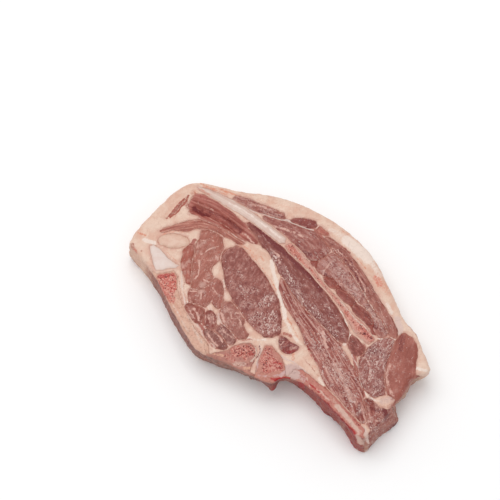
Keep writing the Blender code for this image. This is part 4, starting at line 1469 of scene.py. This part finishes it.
# Each muscle's paint, the way that its fibres run in degrees from +X, and its pale membranes.
NECK_MUSCLES = {
    "neck_left": ((178, 105, 92), 80, []),
    "neck_main": ((178, 112, 99), 65, [
        (0.65, 1, (-43.4, 27), (-43.3, 22), (-44, 18), (-45.5, 15.5)),
        (0.52, 0.88, (-42.5, 30.8), (-40.5, 31.5), (-38, 33.5), (-35, 35), (-31.5, 36)),
        (0.52, 0.75, (-42.5, 39), (-39.5, 39.7), (-37, 40), (-35.5, 39)),
        (0.45, 0.62, (-43, 29), (-40, 27), (-36, 27.5)),
        (0.8, 0.5, (-37, 21), (-36, 24)), (0.91, 1, (-49.5, 24), (-48.5, 14), (-49, 6)),
        (0.65, 0.88, (-47.5, 36), (-46, 30)),
        (0.65, 0.88, (-41, 15), (-37, 14), (-33, 16)), (0.78, 0.75, (-34, 30), (-31.5, 24), (-31, 17)),
    ]),
    "neck_low": ((171, 107, 96), 70, [
        (0.65, 1, (-48, 8.2), (-44.5, 8)), (0.65, 0.75, (-39, 14), (-38, 11.5)),
        (0.91, 0.62, (-36, 2), (-37.5, 0)),
        (0.78, 0.88, (-44, 13), (-42, 8), (-42.5, 3)), (0.65, 0.75, (-36, 10), (-33, 6)),
        (0.8, 0.6, (-49, 5), (-47, 1)),
    ]),
    "strap": ((169, 110, 100), 75, [
        (0.9, 0.9, (-31, -5), (-29.3, -10), (-27, -15)), (0.52, 0.88, (-22, -8), (-19.5, -12)),
        (0.52, 0.75, (-26, -3), (-25, -9)),
        (0.65, 0.75, (-23, -5.5), (-20, -5.2)), (1.0, 0.5, (-21, -11), (-19, -14)),
    ]),
    "splinter_1": ((160, 94, 84), 60, [
        (0.78, 1, (-46, -2.5), (-44, -6), (-43, -10)), (0.65, 0.75, (-48, -4), (-45.5, -8.5)),
    ]),
    "splinter_2": ((150, 86, 78), 80, [
        (0.52, 0.88, (-40, -6), (-39.5, -11)), (0.52, 0.75, (-35.5, -6), (-35, -12)),
        (0.78, 0.75, (-38, -7.5), (-37, -11)),
    ]),
    "splinter_3": ((148, 95, 88), 60, [
        (0.65, 1, (-35, -16.5), (-32, -19.5), (-30, -23)), (0.78, 1, (-38, -18), (-35.5, -22), (-33, -25)),
        (0.65, 0.88, (-36, -14.5), (-34, -17)),
    ]),
    "splinter_4": ((152, 100, 93), 50, [
        (0.78, 0.62, (-31, -13), (-28, -17), (-25, -20)), (0.65, 0.75, (-31, -15), (-28, -17.5)),
    ]),
}
for name, (lean_paint, degrees, seams) in NECK_MUSCLES.items():
    flow = grain_turned(degrees)
    dark_paint = tuple(round(c * 0.9) for c in lean_paint)
    finish = meat_finish(
        name, lean=lean_paint, dark=dark_paint, pale=(210, 162, 150), patch=5.0,
        streaks=(4.0, 0.9, 0.56, 0.26), curls=(1.3, 0.34, 0.4), wet=(0.8, 0.2, 0.5), grain=0.4,
        veins=0.6,
    )
    relief = bundles(flow, 3.5, 1.4, 0.14, 41)
    cut_piece(name, "meat", finish, relief=relief, flow=flow, raised=0.4, pale=seams)

# ---- The two wedges above the neck ----------------------------------------------------------
# The upper wedge has sunk between the fat and the blade and is torn along its length; the lower
# one is a thin salmon strip over the ligament.
WEDGE_LINE = [(-50, 64), (-39.5, 60.2), (-30, 54), (-22, 47.5), (-11, 37.5)]
along_wedge = grain_along(WEDGE_LINE)
wedge_finish = meat_finish(
    "wedge_upper", lean=(176, 108, 98), dark=(150, 84, 76), pale=(200, 142, 130), patch=7.0,
    streaks=(16.0, 0.8, 0.54, 0.5), curls=(2.0, 0.1, 0.2), wet=(0.8, 0.1, 0.3), grain=0.2,
)
# The tears are sunk into the relief, and the dark mask paints shade into them.
WEDGE_TEARS = [
    (2.4, 0.75, (-46.5, 60.5), (-43, 58), (-39, 56.5)),
    (3.2, 0.55, (-42, 60), (-35, 57), (-27, 51.5), (-21, 46.5)),
    (0.6, 0.6, (-40, 59.5), (-32, 56), (-26, 52)), (0.5, 0.6, (-37, 54), (-28, 49.5), (-21, 43.5)),
]


TROUGH_DEPTH = 2.4


def wedge_relief(points):
    """A sunk trough with long torn furrows."""
    flow = along_wedge(points)
    trough = -TROUGH_DEPTH * np.exp(-(((flow[:, 1] + 0.5) / 3.4) ** 2)) * smoothstep(flow[:, 0], 1, 9)
    trough *= 1 - smoothstep(flow[:, 0], 30, 44)
    furrows = painted(points, points[:, 0] * 0, WEDGE_TEARS)
    return trough - 0.6 * furrows + 0.25 * noise_at(flow / (9, 1.0), 1.0, 42)


cut_piece(
    "wedge_upper", "meat", wedge_finish, relief=wedge_relief, flow=along_wedge,
    # Painted shade: darkens the deep left end of the trough and the torn furrows.
    dark=[(1.3, 0.9, (-44.5, 59), (-42, 57.5)), *WEDGE_TEARS],
    pale=[
        (0.6, 0.6, (-41, 62), (-36, 60)), (0.6, 0.6, (-38, 54), (-30, 50.8), (-27, 48.5)),
        (0.6, 0.5, (-45, 65), (-43, 62)),
        (0.8, 0.7, (-19, 45), (-15, 40.5), (-13, 38)), (1.0, 0.5, (-24, 48), (-20, 42)),
        (0.9, 0.5, (-38, 68), (-28, 62)),
    ],
    blood=[(2.2, 0.28, (-45, 69), (-40, 67))],
)

LOWER_WEDGE_LINE = [(-65, 45.3), (-58, 47.9), (-50, 49), (-43, 50), (-35, 47.8), (-27, 42.6), (-19, 37.2)]
along_lower_wedge = grain_along(LOWER_WEDGE_LINE)
lower_wedge_finish = meat_finish(
    "wedge_lower", lean=(184, 122, 108), dark=(168, 102, 91), pale=(212, 162, 146), patch=6.0,
    streaks=(12.0, 0.8, 0.54, 0.7), curls=(1.6, 0.2, 0.3), wet=(0.8, 0.2, 0.4), grain=0.3,
)
cut_piece(
    "wedge_lower", "meat", lower_wedge_finish,
    relief=bundles(along_lower_wedge, 8, 0.9, 0.2, 43), flow=along_lower_wedge, raised=0.3,
    pale=[(0.4, 0.7, (-47, 53), (-45, 51.5)), (0.4, 0.6, (-42, 51), (-34, 48.6), (-28, 44.5))],
    dark=[(0.5, 0.5, (-60, 47), (-52, 47.2))],
)

# ---- The eye --------------------------------------------------------------------------------
# The round loin muscle: smooth at its upper end, then darker and coarser towards the backbone,
# with wet fibre ends standing out all over it in painted highlights.
eye_flow = grain_turned(68)
eye_finish = meat_finish(
    "eye", lean=(166, 108, 99), dark=(142, 84, 78), pale=(200, 154, 144), patch=5.0,
    streaks=(3.0, 1.1, 0.56, 0.4), curls=(1.7, 0.28, 0.55), wet=(0.85, 0.1, 0.8), grain=0.6,
)


def eye_relief(points):
    """Coarser towards the lower end."""
    coarse = 1 - smoothstep(points[:, 1], -6, 26)
    return (0.06 + 0.22 * coarse) * noise_at(points, 1.5, 44) + 0.14 * noise_at(points, 4.5, 45)


cut_piece(
    "eye", "meat", eye_finish, relief=eye_relief, flow=eye_flow, raised=0.4,
    wet=[
        (3.5, 0.55, (-24, 12), (-18, 9), (-12, 8)), (4.0, 0.7, (-18, 0), (-8, 1), (-2, 4)),
        (5.0, 1.0, (-12, -9), (-4, -8)), (5.0, 1.0, (-7, -14), (-2, -13)), (2.0, 0.5, (-22, 20), (-19, 17)),
    ],
    dark=[
        (1.6, 0.5, (-17, 13)), (1.6, 0.5, (-12, 6)), (1.4, 0.6, (-9, -2)), (1.8, 0.6, (-17, -3)),
        (1.4, 0.6, (-9, -7)), (1.2, 0.5, (1, -6.5)), (1.2, 0.4, (-24, 15)), (1.2, 0.4, (-20.5, 5)),
        (1.0, 0.5, (-3, -8)), (1.0, 0.5, (-8.5, -16)), (0.8, 0.5, (-3, -17)),
        (0.5, 0.5, (-3.8, 3), (-3, 1.5)),
    ],
    pale=[
        (0.5, 0.5, (-20.7, 17)), (0.5, 0.5, (-24, 12)), (1.6, 0.3, (-5, -14)), (1.2, 0.3, (-11, -13)),
        (0.5, 0.5, (-8, 1.5)), (0.4, 0.5, (-16.5, 0.5)), (0.4, 0.4, (-25, 20), (-23.5, 24)),
        (1.6, 0.25, (-1.5, -13)),
    ],
)

# ---- The small muscle below the eye ---------------------------------------------------------
# A dark red knot of muscle, sunk a little. Its pit is only a dark spot of painted shade, with no
# hollow in the relief. Pale tissue holds it to the eye above and to the bone beside it.
small_finish = meat_finish(
    "small_muscle", lean=(146, 74, 68), dark=(118, 48, 46), pale=(194, 140, 132), patch=3.0,
    streaks=(3.0, 1.0, 0.57, 0.35), curls=(1.0, 0.32, 0.55), wet=(0.8, 0.28, 0.5),
)
cut_piece(
    "small_muscle", "meat", small_finish,
    relief=lambda points: 0.2 * noise_at(points, 1.6, 46) - 0.2, flow=grain_turned(30),
    # Painted shade: the first dark spot is the pit.
    dark=[(0.9, 1.0, (9, -23.6)), (1.2, 0.5, (3.5, -21))],
    blood=[(1.6, 0.5, (4, -28.5), (9, -28))],
    pale=[
        (0.5, 0.8, (1.3, -24.5), (3.5, -22.5)), (1.0, 0.7, (7.5, -21.5), (10.5, -23)),
        (1.6, 0.5, (7.5, -26.5), (10, -26)), (0.8, 0.5, (3.5, -25.5), (5.5, -24.5)),
    ],
)

# ---- Under the blade ------------------------------------------------------------------------
# The dark purple muscle against the inner side of the blade bone, grey and beaded with moisture on
# the side away from the bone, the beads being painted highlights.
UNDER_BLADE_LINE = [(-16, 50.5), (-5, 37.4), (8.2, 19.7), (21.9, 0.6), (34.6, -18), (37, -21.5)]
along_under_blade = grain_along(UNDER_BLADE_LINE)
under_blade_finish = meat_finish(
    "under_blade", lean=(158, 102, 93), dark=(134, 77, 71), pale=(194, 152, 145), patch=6.0,
    streaks=(4.0, 1.0, 0.56, 0.4), curls=(1.4, 0.16, 0.4), wet=(0.85, 0.06, 0.75), grain=0.45,
)
cut_piece(
    "under_blade", "meat", under_blade_finish,
    relief=lambda points: 0.16 * noise_at(points, 1.4, 47) + 0.12 * noise_at(points, 4, 48),
    flow=along_under_blade, raised=0.35,
    wet=[
        (3.2, 1.0, (-4, 32), (2, 24), (5, 18)), (5.5, 0.9, (7, 15), (13, 5)),
        (4.5, 1.0, (15, 0), (22, -8), (32, -19)), (3.5, 0.6, (20, 8), (27, -2), (32, -8)),
        (1.6, 0.7, (34, -12), (36, -18)), (2.0, 0.5, (-10, 42), (-6, 37)),
    ],
    dark=[
        (2.2, 0.65, (-12, 49), (-4, 39.5), (5, 31), (12, 23.5), (20, 15), (24, 9)),
        (2.4, 0.4, (27, -3), (31, -9), (35, -16)), (1.6, 0.4, (18, -3), (22, -8)),
    ],
    pale=[
        (0.8, 0.8, (-3, 34), (-1.5, 32)), (1.1, 0.9, (-0.5, 31.5), (1, 29.5)),
        (0.8, 0.7, (1, 27.5), (2, 25)),
        (0.7, 0.8, (5.3, 29)), (1.9, 0.9, (11.8, 7.8)), (1.5, 0.6, (12.5, 4), (14, 1.5)),
        (0.7, 0.4, (3, 22), (7, 17)),
        (0.6, 0.4, (-8, 43), (-4, 37)), (0.5, 0.5, (15, 14)), (0.5, 0.4, (34.5, -9), (34, -14)),
    ],
)

# ---- Over the blade -------------------------------------------------------------------------
# The shoulder muscles outside the blade bone, cut across coarse bundles that curl and glisten with
# painted highlights, and three thin ones that lie in the cover fat.
SHOULDER_LINE = [(-7, 54.4), (7, 46.8), (16.6, 40.2), (25, 30)]
LOWER_SHOULDER_LINE = [(27, 27), (36, 18.3), (43.3, 7.5), (50.3, -1.8), (58, -19)]
OUTER_SHOULDER_LINE = [(26, 40.7), (37.4, 30.1), (50.7, 8.2), (60.6, -10.6), (63, -19)]
CAP_LINE = [(-24, 66.9), (-9, 60.6), (5, 54.3)]
SHOULDER_MUSCLES = {
    "shoulder_upper": dict(
        paints=((168, 110, 101), (144, 82, 76), (200, 158, 148)), line=SHOULDER_LINE, curls=(1.7, 0.3, 0.4),
        streaks=(6.0, 1.2, 0.54, 0.45),
        pale=[
            (1.3, 0.7, (-2, 49), (3, 47.3), (8, 45.2)), (1.2, 0.8, (10, 44.7)),
            (1.0, 0.9, (12.5, 43.5), (14.5, 41.7)), (0.9, 0.4, (22, 29), (25, 27)),
        ],
        dark=[
            (2.0, 0.6, (15, 32.5), (19, 30.5)), (1.2, 0.5, (-6, 52), (0, 47)),
            (1.4, 0.5, (12, 37), (16, 35)), (0.5, 0.5, (21, 42), (24, 38), (26.5, 35)),
        ],
        blood=[(0.6, 0.3, (22, 42), (26, 37))],
    ),
    "shoulder_lower": dict(
        paints=((176, 120, 110), (156, 94, 85), (208, 170, 162)), line=LOWER_SHOULDER_LINE,
        curls=(1.7, 0.3, 0.4), streaks=(5.0, 1.2, 0.53, 0.5),
        pale=[
            (1.8, 0.6, (50, -2.5), (52, -6), (54.5, -9.5)), (0.5, 0.7, (34, 14), (39, 9), (44, 2)),
            (1.1, 0.5, (44, 8), (47, 4), (49, 0.5)), (0.7, 0.7, (25.5, 17), (26, 20), (28, 23), (30, 26)),
            (2.4, 0.3, (35, 18)),
        ],
        dark=[
            (1.2, 0.6, (57, -10)), (0.9, 0.5, (57, -16)),
            (1.9, 0.6, (26, 19), (30, 14.5), (35, 9.5), (40, 3.5), (45, -2.5), (50, -8.5), (54, -14)),
        ],
        wet=[(4.0, 0.8, (31, 24), (38, 15), (46, 5)), (3.0, 1.0, (50, -2), (55, -10), (59, -16))],
    ),
    "shoulder_outer": dict(
        paints=((172, 113, 102), (148, 88, 79), (202, 158, 148)), line=OUTER_SHOULDER_LINE,
        curls=(1.6, 0.25, 0.4), streaks=(7.0, 1.0, 0.55, 0.45),
        pale=[
            (0.4, 0.5, (51, 8), (53.5, 3)), (1.0, 0.4, (56, -2), (58, -8)),
            (0.4, 0.9, (48.3, 9), (50, 3), (52, -3)),
            (0.35, 0.9, (34, 33.8), (40.5, 25.5), (45.5, 16.5), (49, 8)), (0.35, 0.7, (30, 36), (37, 29)),
        ],
        dark=[
            (0.4, 0.9, (33, 33.5), (39.4, 25), (44.3, 16), (47.8, 8)),
            (0.4, 0.9, (36, 33), (42, 25), (47, 16), (51, 7)), (0.9, 0.6, (36, 31), (41, 24), (45, 16.5)),
            (1.0, 0.5, (31, 37), (36, 33)), (0.7, 0.4, (63, -8), (64, -14)),
        ],
    ),
    "cap_sliver": dict(
        paints=((172, 112, 101), (146, 84, 76), (206, 166, 156)), line=CAP_LINE, curls=(1.2, 0.45, 0.6),
        streaks=(5.0, 0.9, 0.53, 0.6),
        pale=[(1.1, 0.7, (-14, 62.5), (-9, 61.5), (-6, 60.5))],
        dark=[(1.0, 0.6, (-10, 58.5), (0, 56), (4, 54.5))],
    ),
    "cap_strip": dict(
        paints=((150, 86, 79), (130, 66, 61), (190, 140, 132)), line=[(8, 52), (20, 50)],
        curls=(1.2, 0.2, 0.3), streaks=(6.0, 1.0, 0.56, 0.3),
        pale=[(0.4, 0.7, (18.5, 51.8))], dark=[(0.9, 0.5, (9, 51), (15, 48.8))],
    ),
    "cap_wedge": dict(
        paints=((182, 112, 100), (172, 100, 88), (206, 150, 136)), line=[(23, 47), (29, 43)],
        curls=(1.2, 0.1, 0.2), streaks=(6.0, 1.0, 0.56, 0.3), pale=[], dark=[],
    ),
}
for name, own in SHOULDER_MUSCLES.items():
    flow = grain_along(own["line"])
    finish = meat_finish(
        name, *own["paints"], patch=4.5, streaks=own["streaks"], curls=own["curls"],
        wet=(0.85, 0.3, 0.45), grain=0.35,
    )
    cut_piece(
        name, "meat", finish, relief=bundles(flow, 2.6, 1.3, 0.2, 49), flow=flow, raised=0.35,
        pale=own["pale"], dark=own["dark"], blood=own.get("blood", []), wet=own.get("wet", []),
    )

# ---- Between the blade and the shoulder -----------------------------------------------------
# Four smooth dark red ends of muscle that grow from the blade bone and lie against its outer side
# and its end, parted by thin seams.
BLADE_ENDS = {
    "blade_side_1": (168, 97, 87), "blade_side_2": (160, 92, 84), "blade_side_3": (154, 86, 77),
    "blade_end": (153, 90, 82),
}
for name, lean_paint in BLADE_ENDS.items():
    dark_paint = tuple(round(c * 0.86) for c in lean_paint)
    flow = grain_turned(-50)
    finish = meat_finish(
        name, lean=lean_paint, dark=dark_paint, pale=(188, 132, 122), patch=4.0,
        streaks=(5.0, 1.0, 0.56, 0.45), curls=(1.2, 0.25, 0.45), wet=(0.8, 0.2, 0.5), grain=0.5,
    )
    cut_piece(name, "meat", finish, relief=bundles(flow, 3, 1.2, 0.12, 50), flow=flow, raised=0.25)

# ---- The rib muscle -------------------------------------------------------------------------
# A long fan cut along its fibres: salmon streaks with white ones between them, darker and looser
# where it runs out beside the rib.
SERRATUS_LINE = [
    (2.5, 15.5), (10.4, -3), (17.5, -14), (23.6, -23.5), (29, -33.3), (34.2, -44), (39.3, -53.3), (45, -69),
]
along_serratus = grain_along(SERRATUS_LINE)
serratus_finish = meat_finish(
    "serratus", lean=(176, 112, 101), dark=(142, 76, 69), pale=(216, 172, 160), patch=7.0,
    streaks=(14.0, 0.8, 0.52, 0.7), curls=(1.5, 0.3, 0.5), wet=(0.85, 0.32, 0.6), grain=0.4,
)
cut_piece(
    "serratus", "meat", serratus_finish,
    relief=bundles(along_serratus, 9, 0.95, 0.36, 51), flow=along_serratus, raised=0.3,
    pale=[
        (1.1, 1.0, (25, -16.5), (25.7, -21), (27, -26)), (0.6, 0.7, (23, -13), (22.3, -18.5)),
        (0.7, 0.5, (20.3, -17), (21.5, -22)), (2.0, 0.55, (31, -36), (34, -43), (37, -50), (38.5, -56)),
        (1.6, 0.45, (25.5, -36.5), (28, -41)), (0.5, 0.5, (13, -10), (18, -20)),
        (0.5, 0.5, (8, 2), (14, -6)),
        (1.4, 0.4, (35, -30), (39, -37)), (0.5, 0.6, (45.6, -65), (46.5, -70)),
        (1.0, 0.4, (41, -57), (43, -60)),
    ],
    dark=[
        (3.0, 0.4, (19.5, -25), (23.5, -28)), (0.7, 0.5, (24, -36), (25.5, -46)),
        (2.0, 0.4, (28, -47), (33, -52)),
        (1.2, 0.5, (42, -44), (42.5, -52)), (1.6, 0.6, (43.5, -59), (43, -65)),
        (0.6, 0.6, (8, -9), (12, -17), (16, -24)),
        (1.0, 0.5, (38, -37), (41, -40)), (0.6, 0.5, (30, -40), (33, -50)),
    ],
    blood=[(1.5, 0.7, (16, -26), (17.5, -30.5), (20.3, -34.3)), (0.6, 0.4, (22.5, -36), (24.5, -43))],
    wet=[
        (3.0, 0.6, (23, -24), (27, -34), (31, -42)), (3.5, 0.8, (33, -38), (37, -50), (39, -57)),
        (2.0, 0.5, (34, -26), (37, -33)),
    ],
)

# ---- The shank corner -----------------------------------------------------------------------
# The muscles below the end of the blade: one full of curled wet fibres, a smooth dark one that
# bulges over the slab's side, and a loose flap that the saw tore.
triceps_flow = grain_turned(60)
triceps_finish = meat_finish(
    "triceps", lean=(166, 110, 102), dark=(142, 84, 78), pale=(206, 168, 160), patch=5.0,
    streaks=(4.0, 1.2, 0.55, 0.4), curls=(1.7, 0.3, 0.4), wet=(0.9, 0.45, 0.55), grain=0.4,
)
cut_piece(
    "triceps", "meat", triceps_finish,
    relief=lambda points: 0.2 * noise_at(points, 1.5, 52), flow=triceps_flow, raised=0.35,
    pale=[
        (0.8, 0.6, (44, -30), (47.5, -32.5), (49.6, -36), (50, -41), (49, -45)),
        (0.8, 0.5, (59.5, -28), (58, -32), (56, -35)),
        (0.7, 0.8, (61, -33), (59.4, -36.5), (58.4, -41), (58, -46), (58.6, -51), (60.5, -55)),
        (1.4, 0.4, (46.5, -45), (49, -51)),
        (2.2, 0.3, (53, -38)), (0.6, 0.5, (50.5, -25.5), (55, -22.5)), (2.0, 0.35, (52, -52)),
    ],
    dark=[(2.4, 0.55, (50, -29), (55, -28)), (1.8, 0.4, (53, -49), (56, -48)), (1.6, 0.4, (47.5, -38))],
    wet=[(3.5, 0.9, (49, -25), (57, -31)), (3.0, 0.7, (52, -40), (54, -50))],
)

corner_flow = grain_turned(75)
corner_finish = meat_finish(
    "corner", lean=(172, 108, 97), dark=(148, 86, 77), pale=(204, 160, 148), patch=9.0,
    streaks=(6.0, 1.4, 0.6, 0.18), curls=(2.2, 0.2, 0.35), wet=(0.8, 0.14, 0.45), grain=0.3,
    side_paint=(196, 160, 138), side_share=0.85,
)


def corner_relief(points):
    """Swells in its middle, with a crease along the membrane."""
    away = (points - np.array((69, -36))) / (9, 20)
    crease = painted(points, points[:, 0] * 0, [(1.2, 1.0, (61, -36), (59.5, -42), (60.5, -50))])
    return 0.3 * smoothstep(1 - (away**2).sum(1), 0, 0.8) - 0.4 * crease + 0.08 * noise_at(points, 2.2, 53)


cut_piece(
    "corner", "meat", corner_finish, relief=corner_relief, flow=corner_flow, raised=0.2,
    pale=[
        (1.2, 0.7, (60.6, -36), (59.3, -40), (59, -45), (59.8, -49.5), (61.5, -54)),
        (1.8, 0.3, (62, -37), (62.5, -42)),
        (1.9, 0.32, (63, -37), (66.5, -34.5)), (1.7, 0.3, (70, -33.5), (73, -35)), (0.9, 0.4, (68.5, -24)),
        (0.35, 0.6, (63.5, -46), (65, -45), (65.5, -47)),
    ],
    dark=[(3.0, 0.45, (68, -20), (67, -27)), (2.0, 0.3, (64, -30), (66, -34))],
)

flap_flow = grain_turned(-75)
flap_finish = meat_finish(
    "flap", lean=(168, 104, 94), dark=(132, 70, 63), pale=(208, 164, 152), patch=4.0,
    streaks=(7.0, 1.0, 0.54, 0.5), curls=(1.5, 0.3, 0.4), wet=(0.9, 0.34, 0.55), grain=0.35,
    side_paint=(164, 92, 82),
)


def flap_relief(points):
    """The flap lies lower than the muscle above it, under a fold."""
    fold = smoothstep(points[:, 1] + 0.2 * (points[:, 0] - 55), -66, -57)
    return -1.3 * fold + bundles(flap_flow, 6, 1.2, 0.3, 54)(points)


cut_piece(
    "flap", "meat", flap_finish, relief=flap_relief, flow=flap_flow, raised=0.1,
    pale=[
        (1.2, 0.8, (52.5, -68.3)), (0.9, 0.8, (48.2, -69)), (0.5, 0.9, (46.5, -63.5), (47.5, -70)),
        (0.5, 0.9, (48.4, -64), (49.3, -69)),
        (1.4, 0.6, (52, -72), (51, -77)), (2.4, 0.85, (60.5, -65, 8), (58, -70, 6)),
        (0.8, 0.5, (54, -64.5), (55, -69)), (0.9, 0.6, (57, -70, 12), (54, -76, 10)),
    ],
    dark=[
        # Painted shade: the first and third dark strokes lie under the fold above the flap.
        (1.8, 0.55, (50, -61), (54, -63), (58, -63)), (1.6, 0.5, (51, -78), (54, -74), (57, -68)),
        (2.2, 0.75, (57, -62.5), (58, -67)), (1.0, 0.6, (58, -66, 14), (55, -73, 14)),
    ],
    wet=[(3.5, 0.6, (50, -68), (52, -74))],
)
